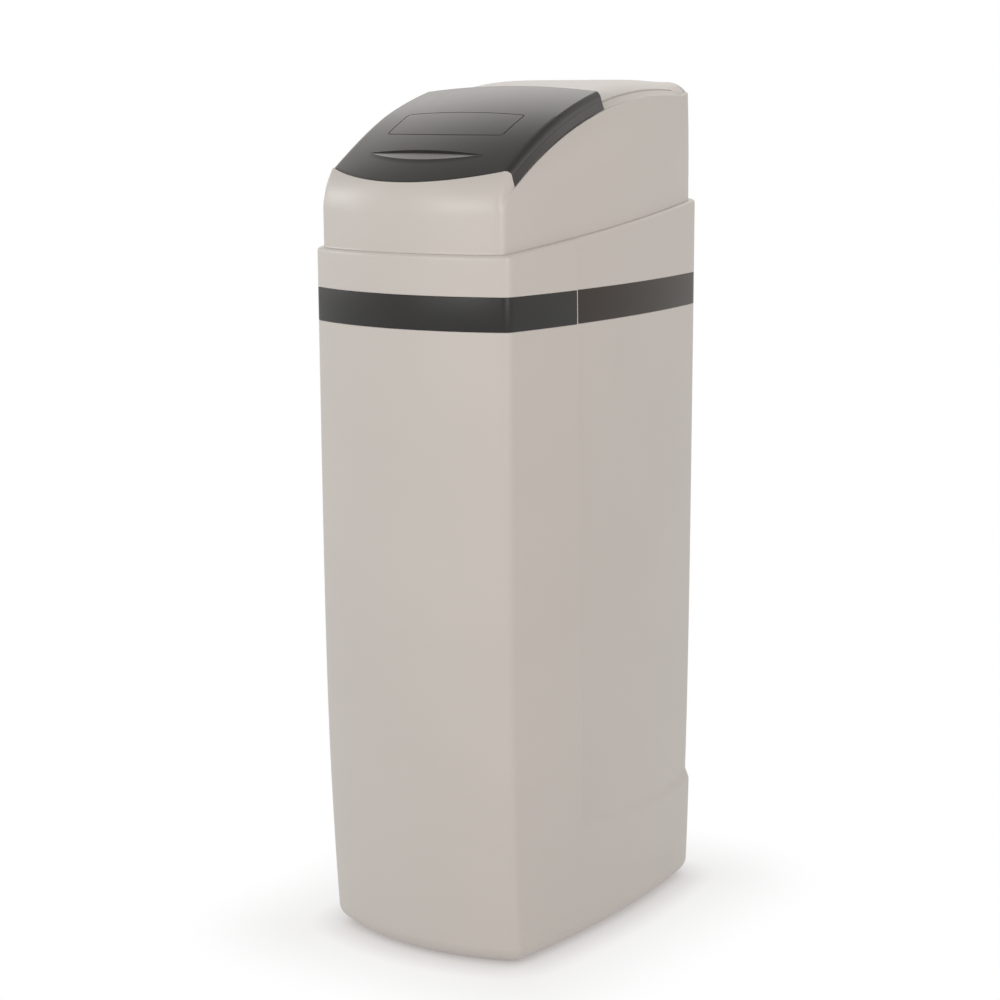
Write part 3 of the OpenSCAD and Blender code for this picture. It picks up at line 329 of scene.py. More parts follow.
@dataclass(frozen=True)
class Finish:
    """One material.

    Args:
        name: the record's slot, which also names the material.
        colour: main colour, sRGB 0 to 255.
        second: colour that the pattern mixes in, sRGB 0 to 255.
        pattern: how it varies.
        scale: pattern repeats per metre.
        roughness: middle roughness.
        spread: how far the roughness varies.
        bump: relief in mm.
        metallic: share of metal.
        specular: strength of the mirror part, 0.5 being that of plain plastic.
        coat: share of a clear coat.
        coat_roughness: that coat's roughness.
        transmission: share of light let through.
    """

    name: str
    colour: tuple[float, float, float]
    second: tuple[float, float, float]
    pattern: Pattern = Pattern.MOULDED
    scale: float = 900.0
    roughness: float = 0.5
    spread: float = 0.1
    bump: float = 0.02
    metallic: float = 0.0
    specular: float = 0.5
    coat: float = 0.0
    coat_roughness: float = 0.1
    transmission: float = 0.0


def linear(colour: tuple[float, float, float]) -> tuple[float, float, float, float]:
    """Turns sRGB 0 to 255 into the linear colour that sockets hold."""
    share = np.asarray(colour, float) / 255.0
    value = np.where(share <= 0.04045, share / 12.92, ((share + 0.055) / 1.055) ** 2.4)
    return (*value.tolist(), 1.0)


class Tree:
    """A short way to place and link nodes in one tree."""

    def __init__(self, tree: bpy.types.NodeTree) -> None:
        """Holds the tree."""
        self.tree = tree

    def put(self, kind: str, inputs: dict | None = None, **settings: object) -> bpy.types.Node:
        """Places a node, sets its properties and sets or links its inputs.

        Args:
            kind: node type.
            inputs: socket name or number to a value or an output socket.
            settings: node properties.

        Returns:
            The node.
        """
        node = self.tree.nodes.new(kind)
        for key, value in settings.items():
            setattr(node, key, value)
        for key, value in (inputs or {}).items():
            if isinstance(value, bpy.types.NodeSocket):
                self.tree.links.new(value, node.inputs[key])
            else:
                node.inputs[key].default_value = value
        return node

    def math(self, operation: str, *values: object) -> bpy.types.NodeSocket:
        """Places one Math node and returns its output."""
        return self.put("ShaderNodeMath", dict(enumerate(values)), operation=operation).outputs[0]

    def mixed(self, factor: object, a: object, b: object) -> bpy.types.NodeSocket:
        """Mixes two colours and returns the output."""
        return self.put("ShaderNodeMix", {"Factor": factor, 6: a, 7: b}, data_type="RGBA").outputs[2]

    def noise(self, place: object, scale: object, detail: float = 2.0) -> bpy.types.NodeSocket:
        """Places a noise and returns its value."""
        return self.put("ShaderNodeTexNoise", {"Vector": place, "Scale": scale, "Detail": detail}).outputs[0]

    def stretched(self, value: object, low: float, high: float) -> bpy.types.NodeSocket:
        """Maps the range low to high onto 0 to 1, smoothly."""
        return self.put("ShaderNodeMapRange", {"Value": value, "From Min": low, "From Max": high},
                        interpolation_type="SMOOTHSTEP").outputs[0]

    def between(self, factor: object, low: object, high: object) -> bpy.types.NodeSocket:
        """Goes in a straight line from low at factor 0 to high at factor 1."""
        return self.put("ShaderNodeMapRange", {"Value": factor, "To Min": low, "To Max": high}).outputs[0]


def emptied(owner: bpy.types.ID) -> Tree:
    """Turns on the nodes of a material or world and takes out those it starts with."""
    owner.use_nodes = True
    owner.node_tree.nodes.clear()
    return Tree(owner.node_tree)


class Finishes:
    """Builds the shared patterns once and a material for each finish."""

    broad_scale = 5.0
    patch_scale = 70.0
    rich_detail = 3.0
    tank_y = 0.0942
    wound_turns = 40.0
    drawn_out = (1.0, 1.0, 30.0)
    track_gap = 0.06
    board_tones = (0.0, 0.15, 1.0)
    tones = {Pattern.MOULDED: (0.3, 0.7), Pattern.STIPPLED: (0.35, 0.7), Pattern.WOUND: (-0.4, 1.0),
             Pattern.TURNED: (0.35, 0.65), Pattern.FOAMED: (0.2, 0.9)}

    def __init__(self) -> None:
        """Makes every pattern group."""
        self.groups = {pattern: self.group(pattern) for pattern in Pattern}
        self.made: dict[str, bpy.types.Material] = {}

    def group(self, pattern: Pattern) -> bpy.types.ShaderNodeTree:
        """Makes a pattern's node group.

        Args:
            pattern: which pattern.

        Returns:
            A group that takes Colour, Second, Scale, Roughness and Spread.
            It gives Colour, Roughness and Height.
        """
        group = bpy.data.node_groups.new(pattern.value, "ShaderNodeTree")
        for name, kind in (("Colour", "NodeSocketColor"), ("Second", "NodeSocketColor"),
                           ("Scale", "NodeSocketFloat"), ("Roughness", "NodeSocketFloat"),
                           ("Spread", "NodeSocketFloat")):
            group.interface.new_socket(name, in_out="INPUT", socket_type=kind)
        for name, kind in (("Colour", "NodeSocketColor"), ("Roughness", "NodeSocketFloat"),
                           ("Height", "NodeSocketFloat")):
            group.interface.new_socket(name, in_out="OUTPUT", socket_type=kind)
        tree = Tree(group)
        given = tree.put("NodeGroupInput").outputs
        place = tree.put("ShaderNodeTexCoord").outputs["Object"]
        mask, height = self.relief(tree, pattern, place, given["Scale"])
        patches = tree.noise(place, self.patch_scale, self.rich_detail)
        swing = tree.math("SUBTRACT", patches, 0.5)
        rough = tree.math("MULTIPLY_ADD", swing, given["Spread"], given["Roughness"])
        tree.put("NodeGroupOutput", {"Colour": tree.mixed(mask, given["Colour"], given["Second"]),
                                     "Roughness": rough, "Height": height})
        return group

    def relief(self, tree: Tree, pattern: Pattern, place: object, scale: object) -> tuple:
        """Lays out one pattern's nodes.

        Moulded: fine noise, tinted in broad patches. Stippled: rounded cells. Wound: two families of helices
        round the vessel's axis. Beaded: domed cells in mixed tints. Turned: noise drawn out along a line.
        Foamed: open cells. Tracked: thin lines on a grid.

        Args:
            tree: the group's tree.
            pattern: which pattern.
            place: object coordinates.
            scale: repeats per metre.

        Returns:
            Sockets of the colour mask and the height.
        """
        if pattern is Pattern.MOULDED:
            broad = tree.noise(place, self.broad_scale)
            return tree.stretched(broad, *self.tones[pattern]), tree.noise(place, scale)
        if pattern is Pattern.STIPPLED:
            cell = tree.put("ShaderNodeTexVoronoi", {"Vector": place, "Scale": scale}, feature="SMOOTH_F1")
            grain = tree.noise(place, scale, self.rich_detail)
            height = tree.math("ADD", tree.math("MULTIPLY", cell.outputs[0], -1.0), grain)
            return tree.stretched(grain, *self.tones[pattern]), height
        if pattern is Pattern.WOUND:
            axis = tree.put("ShaderNodeSeparateXYZ", {0: place}).outputs
            angle = tree.math("ARCTAN2", tree.math("SUBTRACT", axis[1], self.tank_y), axis[0])
            rise = tree.math("MULTIPLY", axis[2], scale)
            one = tree.math("SINE", tree.math("MULTIPLY_ADD", angle, self.wound_turns, rise))
            two = tree.math("SINE", tree.math("MULTIPLY_ADD", angle, -self.wound_turns, rise))
            laid = tree.math("MAXIMUM", one, two)
            return tree.stretched(laid, *self.tones[pattern]), laid
        if pattern is Pattern.BEADED:
            cell = tree.put("ShaderNodeTexVoronoi", {"Vector": place, "Scale": scale})
            tint = tree.put("ShaderNodeSeparateColor", {0: cell.outputs["Color"]}).outputs[0]
            return tint, tree.math("SUBTRACT", 1.0, tree.math("POWER", cell.outputs[0], 2.0))
        if pattern is Pattern.TURNED:
            drawn = tree.put("ShaderNodeMapping", {"Vector": place, "Scale": self.drawn_out}).outputs[0]
            line = tree.noise(drawn, scale)
            return tree.stretched(line, *self.tones[pattern]), line
        if pattern is Pattern.FOAMED:
            cell = tree.put("ShaderNodeTexVoronoi", {"Vector": place, "Scale": scale}, feature="F2")
            return tree.stretched(cell.outputs[0], *self.tones[pattern]), cell.outputs[0]
        greys = ((tone, tone, tone, 1.0) for tone in self.board_tones)
        brick = tree.put("ShaderNodeTexBrick", {
            "Vector": place, "Scale": scale, "Mortar Size": self.track_gap,
            **dict(zip(("Color1", "Color2", "Mortar"), greys))})
        return brick.outputs["Fac"], brick.outputs["Fac"]

    def material(self, finish: Finish) -> bpy.types.Material:
        """Makes a finish's material once.

        Args:
            finish: the finish.

        Returns:
            The material.
        """
        if finish.name in self.made:
            return self.made[finish.name]
        material = bpy.data.materials.new("finish_" + finish.name)
        tree = emptied(material)
        pattern = tree.put("ShaderNodeGroup", {
            "Colour": linear(finish.colour), "Second": linear(finish.second), "Scale": finish.scale,
            "Roughness": finish.roughness, "Spread": finish.spread}, node_tree=self.groups[finish.pattern])
        bump = tree.put("ShaderNodeBump", {"Strength": 1.0, "Distance": finish.bump * MM,
                                           "Height": pattern.outputs["Height"]})
        shader = tree.put("ShaderNodeBsdfPrincipled", {
            "Base Color": pattern.outputs["Colour"], "Roughness": pattern.outputs["Roughness"],
            "Normal": bump.outputs[0], "Metallic": finish.metallic, "Specular IOR Level": finish.specular,
            "Coat Weight": finish.coat, "Coat Roughness": finish.coat_roughness,
            "Transmission Weight": finish.transmission})
        tree.put("ShaderNodeOutputMaterial", {"Surface": shader.outputs[0]})
        self.made[finish.name] = material
        return material


FINISHES = {finish.name: finish for finish in (
    Finish("shell", (207, 202, 196), (205, 200, 194), scale=1100.0, roughness=0.36, spread=0.03, bump=0.008),
    Finish("lid", (46, 44, 42), (44, 42, 40), scale=1300.0, roughness=0.3, spread=0.03, bump=0.006),
    Finish("front_trim", (30, 29, 28), (25, 24, 24), Pattern.STIPPLED, 700.0, 0.38, 0.08, 0.08,
           specular=0.38),
    Finish("rear_trim", (46, 36, 28), (44, 34, 26), scale=1100.0, roughness=0.28, spread=0.03, bump=0.006,
           specular=0.27),
    Finish("boot", (28, 28, 30), (36, 36, 37), scale=500.0, roughness=0.75, spread=0.15, bump=0.04),
    Finish("vessel", (196, 190, 172), (178, 170, 148), Pattern.WOUND, 900.0, 0.42, 0.12, 0.25, coat=0.3),
    Finish("resin", (168, 116, 58), (128, 80, 34), Pattern.BEADED, 900.0, 0.35, 0.1, 0.35),
    Finish("pipe", (226, 226, 221), (218, 217, 210), scale=600.0, roughness=0.3, spread=0.08, bump=0.008),
    Finish("seal", (22, 22, 22), (30, 30, 30), scale=900.0, roughness=0.55, spread=0.12, bump=0.01),
    Finish("valve", (56, 56, 58), (48, 48, 50), scale=900.0, roughness=0.5, spread=0.12, bump=0.03),
    Finish("disc", (222, 224, 228), (212, 214, 220), Pattern.TURNED, 300.0, 0.16, 0.05, 0.004),
    Finish("gear", (230, 230, 220), (222, 221, 208), scale=700.0, roughness=0.36, spread=0.08, bump=0.01),
    Finish("plate", (66, 66, 68), (58, 58, 60), scale=900.0, roughness=0.5, spread=0.12, bump=0.02),
    Finish("steel", (186, 186, 190), (150, 150, 154), Pattern.TURNED, 500.0, 0.3, 0.12, 0.01, metallic=1.0),
    Finish("motor", (168, 168, 164), (152, 152, 150), Pattern.TURNED, 260.0, 0.36, 0.14, 0.01, metallic=0.85),
    Finish("injector", (196, 54, 48), (178, 44, 40), scale=700.0, roughness=0.32, spread=0.08, bump=0.01),
    Finish("fitting", (36, 36, 38), (44, 44, 45), scale=800.0, roughness=0.5, spread=0.12, bump=0.02),
    Finish("panel", (48, 48, 50), (42, 42, 44), scale=900.0, roughness=0.5, spread=0.1, bump=0.03),
    Finish("window", (86, 104, 98), (80, 98, 92), scale=300.0, roughness=0.06, spread=0.02, bump=0.001,
           transmission=0.55, coat=0.4),
    Finish("board", (30, 96, 58), (150, 132, 70), Pattern.TRACKED, 220.0, 0.34, 0.1, 0.03, coat=0.3),
    Finish("button", (146, 146, 143), (138, 138, 135), scale=700.0, roughness=0.62, spread=0.12, bump=0.02),
    Finish("float", (220, 136, 48), (196, 112, 34), Pattern.FOAMED, 420.0, 0.7, 0.12, 0.2),
)}


class Dresser:
    """Gives pieces their body, slot and material."""

    def __init__(self) -> None:
        """Builds the finishes."""
        self.finishes = Finishes()

    def fit(self, piece: bpy.types.Object, body: str, slot: str, *nodes: str) -> None:
        """Sets a new piece on its body.

        Args:
            piece: the piece.
            body: the body it rides on.
            slot: its finish.
            nodes: the solids it stands for.
        """
        piece.data.materials.clear()
        piece.data.materials.append(self.finishes.material(FINISHES[slot]))
        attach(piece, body)
        if nodes:
            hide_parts(*nodes)
        LOG.info("%s: %d faces on %s", piece.name, len(piece.data.polygons), body)

    def nodes(self, record: dict, nodes: dict) -> None:
        """Dresses every solid that stays, by its slot in the record."""
        for row in record["subparts"]:
            mesh = nodes[row["node"]].data
            mesh.materials.clear()
            mesh.materials.append(self.finishes.material(FINISHES[row["material_slot"]]))
            LOG.info("%s: finish %s", row["node"], row["material_slot"])


@dataclass(frozen=True)
class Plan:
    """The tub's plan, its curves along the sides and its draft, all in mm."""

    front_y: float = -252.0
    front: Bow = Bow(0.0, 91.23, 343.23)
    side: Bow = Bow(-1179.11, 14.5, 1350.11)
    back: Bow = Bow(0.0, -1651.08, 1903.08)
    front_draft: float = 20.0
    side_draft: float = 5.1
    back_draft: float = 7.4
    draft_power: float = 4.5
    band_low: float = 827.0
    band_high: float = 870.0
    rim: float = 921.0
    rim_rise: float = 50.0
    rim_front: float = -217.0
    rim_back: float = 246.0
    ledge: float = 154.0
    ledge_climb: float = 20.0
    ledge_low_y: float = 130.0
    ledge_h: float = 14.5
    ledge_round: float = 14.0
    ledge_soft: float = 0.1
    mark_lead: float = 1.2
    recess_start: float = 163.0
    recess_lean: float = 15.0
    recess_deep: float = 4.6
    recess_shallow: float = 2.2
    step_run: float = 3.0
    fine_run: float = 20.0
    front_fillet: float = 17.0
    rear_fillet: float = 22.0
    fillet_draw: float = 0.3

    @property
    def outline(self) -> Outline:
        """The tub's plan before insets."""
        return Outline(self.front, self.side, self.back)

    def drawn(self, z: Array) -> Array:
        """Share of the draft at a height: (1 - z / band)^power below the band and none above."""
        return np.maximum(0.0, 1.0 - z / self.band_low) ** self.draft_power

    def step_y(self, z: Array) -> Array:
        """Where the side's recess starts: a line leaning back as it goes down."""
        return self.front_y + self.recess_start + self.recess_lean * (self.rim - z) / (self.rim - self.ledge)

    def recess_at(self, z: Array) -> Array:
        """Depth of the recess, falling in a straight line from the ledge to the rim."""
        return mix(self.recess_deep, self.recess_shallow, (z - self.ledge) / (self.rim - self.ledge))

    def rim_at(self, y: Array) -> Array:
        """Height of the rim: level at the front, then a straight climb to the back."""
        way = np.clip((y - self.rim_front) / (self.rim_back - self.rim_front), 0.0, 1.0)
        return self.rim + self.rim_rise * way

    def ledge_at(self, y: Array) -> Array:
        """Height of the ledge: a parabola, lowest near the back."""
        start = self.step_y(self.ledge)
        return self.ledge + self.ledge_climb * (
            (np.maximum(y, start) - self.ledge_low_y) / (self.ledge_low_y - start)) ** 2

    def ring(self, z: Array, inset: Array, cut: Array) -> tuple[Array, Array]:
        """Plans at heights, drawn in by an inset and the draft.

        Args:
            z: level of each ring.
            inset: inset of each ring.
            cut: share of the recess that the rear corner makes room for.

        Returns:
            Points and normals, rings x columns x 2.
        """
        z, inset, cut = each(z, inset, cut)
        share = self.drawn(z)
        room = cut * self.recess_at(z) * ramp((z - self.ledge + self.ledge_h) / self.ledge_h, self.ledge_soft)
        drafts = (self.front_draft, self.side_draft, self.back_draft)
        return self.outline.loop(
            tuple(inset + draft * share for draft in drafts),
            (self.front_fillet - self.fillet_draw * self.front_draft * share, self.rear_fillet + room),
            self.step_y(z) - self.mark_lead, self.fine_run)


PLAN = Plan()


def rows(z: object, inset: object = 0.0, ledge: object = 0.0, rim: object = 0.0, cut: object = 1.0,
         groove: object = 0.0) -> Array:
    """Rows of a wall: level, inset, shares of the ledge's, rim's and recess's curves, and groove depth."""
    return np.stack(each(z, inset, ledge, rim, cut, groove), -1)


@dataclass
class Tub:
    """The moulded cabinet with its base, ledges, band groove, rim and inner wall, and the overflow's boss."""

    pad_h: float = 2.0
    pad_inset: float = 30.0
    base_round: float = 24.0
    wall: float = 6.0
    floor_z: float = 8.0
    inner_round: float = 18.0
    groove: float = 2.4
    groove_edge: float = 0.5
    rib: float = 0.6
    rib_soft: float = 0.25
    rim_edge: float = 5.0
    flange: float = 12.0
    flange_h: float = 14.0
    ledge_below: float = 16.0
    ledge_above: float = 4.0
    overflow: tuple[float, float, float, float] = (-100.0, 236.7, 248.7, 780.0)
    boss_r: float = 19.0
    boss_edge: float = 0.8
    hole_r: float = 10.5
    drill_past: float = 20.0
    round_parts: int = 15
    rim_parts: int = 9
    outer_parts: tuple[int, int, int, int] = (10, 18, 26, 8)
    inner_parts: tuple[int, int, int] = (14, 10, 6)

    def wall_rows(self) -> Array:
        """Rows from the foot pad up the outside, over the rim and down the inside to the floor."""
        p = PLAN
        base = quarter(self.round_parts)
        edge = quarter(self.rim_parts)[1:]
        foot, step, side, top = (even(count) for count in self.outer_parts)
        inner, inner_step, inner_foot = (even(count) for count in self.inner_parts)
        low, high = p.ledge - self.ledge_below, p.ledge + self.ledge_above
        first = self.pad_h + self.base_round
        e = self.groove_edge
        rim_low = p.rim - self.rim_edge
        inner_first = self.floor_z + self.inner_round
        inner_top = p.rim - self.flange_h - self.flange
        return np.concatenate([
            rows([0.0, self.pad_h], self.pad_inset, cut=0.0),
            rows(self.pad_h + self.base_round * (1 - np.cos(base)),
                 self.base_round * (1 - np.sin(base)), cut=0.0),
            rows(mix(first, low, foot), ledge=foot),
            rows(mix(low, high, step), ledge=1.0),
            rows(mix(high, p.band_low - e, side), ledge=1.0 - side),
            rows([p.band_low, p.band_low, p.band_high, p.band_high, p.band_high + e],
                 groove=[e, self.groove, self.groove, e, 0.0]),
            rows(mix(p.band_high + e, rim_low, top), rim=top),
            rows(rim_low + self.rim_edge * np.sin(edge), self.rim_edge * (1 - np.cos(edge)), rim=1.0),
            rows([p.rim, p.rim - self.flange_h], self.flange, rim=1.0, cut=0.0),
            rows(inner_top, self.wall, rim=1.0),
            rows(mix(inner_top, high, inner), self.wall, ledge=inner, rim=1.0 - inner),
            rows(mix(high, low, inner_step), self.wall, ledge=1.0),
            rows(mix(low, inner_first, inner_foot), self.wall, ledge=1.0 - inner_foot),
            rows(self.floor_z + self.inner_round * (1 - np.cos(base[-2::-1])),
                 self.wall + self.inner_round * (1 - np.sin(base[-2::-1])), cut=0.0),
        ])

    def grid(self, table: Array) -> Array:
        """Computes the wall: plans at each row, lifted along ledge and rim, pressed in at the recess.

        The recess presses points in along the plan's normals by its depth at that height, times a soft ramp
        up the ledge, and no deeper than a quarter round behind its leaning front line. The ledge's front end
        follows a quarter circle too. The bands' groove goes in further, apart from a rib at their split.

        Args:
            table: rows of level, inset, ledge share, rim share, recess share and groove depth.

        Returns:
            Points, rows x columns x 3.
        """
        p = PLAN
        z, inset, ledge, rim, cut, groove = table.T
        plan, normal = p.ring(z, inset, cut)
        y = plan[..., 1]
        height = z[:, None] + ledge[:, None] * (p.ledge_at(y) - p.ledge)
        height = height + rim[:, None] * (p.rim_at(y) - p.rim)
        above = height - p.ledge_at(y) + p.ledge_h
        lag = p.ledge_round - np.sqrt(
            p.ledge_round ** 2 - np.clip(p.ledge_round - above, 0.0, p.ledge_round) ** 2)
        behind = y - p.step_y(z)[:, None] - lag
        round_off = p.step_run - np.sqrt(p.step_run ** 2 - np.clip(behind, 0.0, p.step_run) ** 2)
        deep = (cut * p.recess_at(z))[:, None] * ramp(above / p.ledge_h, p.ledge_soft)
        press = np.where(behind >= p.step_run, deep, np.minimum(deep, round_off))
        split = y - p.step_y(z)[:, None]
        rib = (smooth((split + self.rib) / self.rib_soft)
               * smooth((p.step_run + self.rib - split) / self.rib_soft))
        press = press + groove[:, None] * (1.0 - rib)
        plan = plan - press[..., None] * normal
        return np.concatenate([plan, height[..., None]], -1)

    def build(self, dresser: Dresser) -> None:
        """Makes the shell with its overflow hole, and the boss around the hole.

        The overflow is the hole's x, the y at which its boss starts and ends, and its z.
        """
        shell = swept(self.grid(self.wall_rows()), "tub_shell")
        x, y0, y1, z = self.overflow
        in_y, out_y = y0 - self.drill_past, y1 + self.drill_past
        carve(shell, tube((x, z), [(in_y, 0.0), (in_y, self.hole_r), (out_y, self.hole_r), (out_y, 0.0)],
                          "overflow_drill", False))
        dresser.fit(shell, "cabinet_body", "shell", "cabinet")
        e = self.boss_edge
        boss = tube((x, z), [(y0, self.hole_r), (y0, self.boss_r), (y1 - e, self.boss_r),
                             (y1, self.boss_r - e), (y1, self.hole_r)], "overflow_boss", True)
        dresser.fit(boss, "cabinet_body", "shell")


def tube(centre: tuple[float, float], profile: list[tuple[float, float]], name: str, ring: bool,
         parts: int = 64) -> bpy.types.Object:
    """Turns a profile round a line along Y.

    Args:
        centre: x and z of the line in mm.
        profile: pairs of y and radius.
        name: the piece's name.
        ring: joins the profile's ends, for a ring; otherwise its ends lie on the line.
        parts: divisions of the turn.

    Returns:
        The turned piece.
    """
    y, r = np.asarray(profile, float).T
    a = np.linspace(0.0, 2.0 * math.pi, parts, endpoint=False)
    grid = np.stack(np.broadcast_arrays(centre[0] + r[:, None] * np.cos(a), y[:, None],
                                        centre[1] + r[:, None] * np.sin(a)), -1)
    surface = Surface()
    surface.skin(surface.add(grid), loop_rows=ring, loop_columns=True)
    return surface.make(name)


@dataclass
class Bands:
    """The front and rear trim bands in the tub's groove."""

    thickness: float = 2.2
    gap: float = 0.2
    split: float = 0.75
    edge: float = 0.6
    edge_parts: int = 5

    def profile(self) -> tuple[Array, Array]:
        """A tall strip's section with its outer edges rounded: depth into the wall, and height."""
        low, high = PLAN.band_low + self.gap, PLAN.band_high - self.gap
        a = quarter(self.edge_parts)
        depth = np.concatenate([[self.thickness], self.edge * (1 - np.sin(a)), self.edge * (1 - np.cos(a)),
                                [self.thickness]])
        height = np.concatenate([[low], low + self.edge * (1 - np.cos(a)), high - self.edge * (1 - np.sin(a)),
                                 [high]])
        return depth, height

    def strip(self, points: Array, normals: Array, name: str) -> bpy.types.Object:
        """Carries the section along a path of plan points, inward along their normals."""
        depth, height = self.profile()
        flat = points[:, None, :] - depth[None, :, None] * normals[:, None, :]
        tall = np.broadcast_to(height[None, :, None], (*flat.shape[:2], 1))
        return swept(np.concatenate([flat, tall], -1), name)

    def build(self, dresser: Dresser) -> None:
        """Makes both bands."""
        p = PLAN
        middle = (p.band_low + p.band_high) / 2.0
        recess = float(p.recess_at(middle))
        start = float(p.step_y(middle))
        cut = p.outline.split + 1
        points, normals = p.outline.half((0.0, 0.0, 0.0), (p.front_fillet, p.rear_fillet), start - self.split,
                                         p.fine_run)
        points, normals = points[0, :cut], normals[0, :cut]
        front = self.strip(np.concatenate([points[:0:-1] * MIRROR, points]),
                           np.concatenate([normals[:0:-1] * MIRROR, normals]), "front_band")
        dresser.fit(front, "cabinet_body", "front_trim", "front_trim_band")
        points, normals = p.outline.half((recess, recess, recess), (p.front_fillet, p.rear_fillet),
                                         start + p.step_run + self.split, p.fine_run)
        points, normals = points[0, cut - 1:], normals[0, cut - 1:]
        rear = self.strip(np.concatenate([points, points[-2::-1] * MIRROR]),
                          np.concatenate([normals, normals[-2::-1] * MIRROR]), "rear_band")
        dresser.fit(rear, "cabinet_body", "rear_trim", "rear_trim_band")


@dataclass(frozen=True)
class Arc:
    """The lid's sliding arc about a line along X, and the profiles that follow it, in mm."""

    y: float = 160.0
    z: float = 490.0
    crown: float = 652.0
    camber: float = 11.0
    flat: float = 130.4
    edge: float = 10.0
    half_w: float = 142.0
    skirt_r: float = 620.0
    front_y: float = 6.4
    front_r: float = 243.0
    corner: float = 9.6
    gap: float = 0.4
    deck_drop: float = 11.0
    deck_camber: float = 13.5
    deck_power: int = 8
    flat_r: float = 40000.0
    runner_x: float = 131.0
    groove_r: float = 625.0

    def lid_top(self, x: Array) -> Array:
        """The lid's crown: a parabola across."""
        return self.crown - self.camber * (x / self.flat) ** 2

    def deck_top(self, x: Array) -> Array:
        """The deck under the lid: a high power, level in the middle and falling near the grooves."""
        return self.crown - self.deck_drop - self.deck_camber * (x / self.runner_x) ** self.deck_power

    def height(self, r: Array, y: Array) -> Array:
        """Height of radius r above the arc's line at a distance y."""
        return self.z + np.sqrt(r * r - (y - self.y) ** 2)

    def laid(self, x: Array, angle: Array, r: Array) -> Array:
        """Points from a place across, an angle about the arc's line and a radius."""
        return np.stack(np.broadcast_arrays(x, self.y + r * np.sin(angle), self.z + r * np.cos(angle)), -1)

    def lid_side(self, x: Array) -> Array:
        """The lid's outer profile: the crown, a rounded edge, then a flared skirt."""
        far = np.abs(x)
        side = self.lid_top(self.flat) - self.edge
        arc = side + np.sqrt(np.maximum(self.edge ** 2 - (far - self.flat) ** 2, 0.0))
        flare = (far - self.flat - self.edge) / (self.half_w - self.flat - self.edge)
        skirt = mix(side, self.skirt_r, np.clip(flare, 0.0, 1.0))
        return np.where(far <= self.flat, self.lid_top(x), np.where(flare <= 0.0, arc, skirt))


ARC = Arc()


@dataclass(frozen=True)
class TopPlan:
    """One plan of the cover's top, in mm.

    Args:
        front_in: inset of the front.
        side_in: inset of the sides.
        back_in: inset of the back.
        front_f: front fillet.
        rear_f: rear fillet.
    """

    front_in: float
    side_in: float
    back_in: float
    front_f: float
    rear_f: float


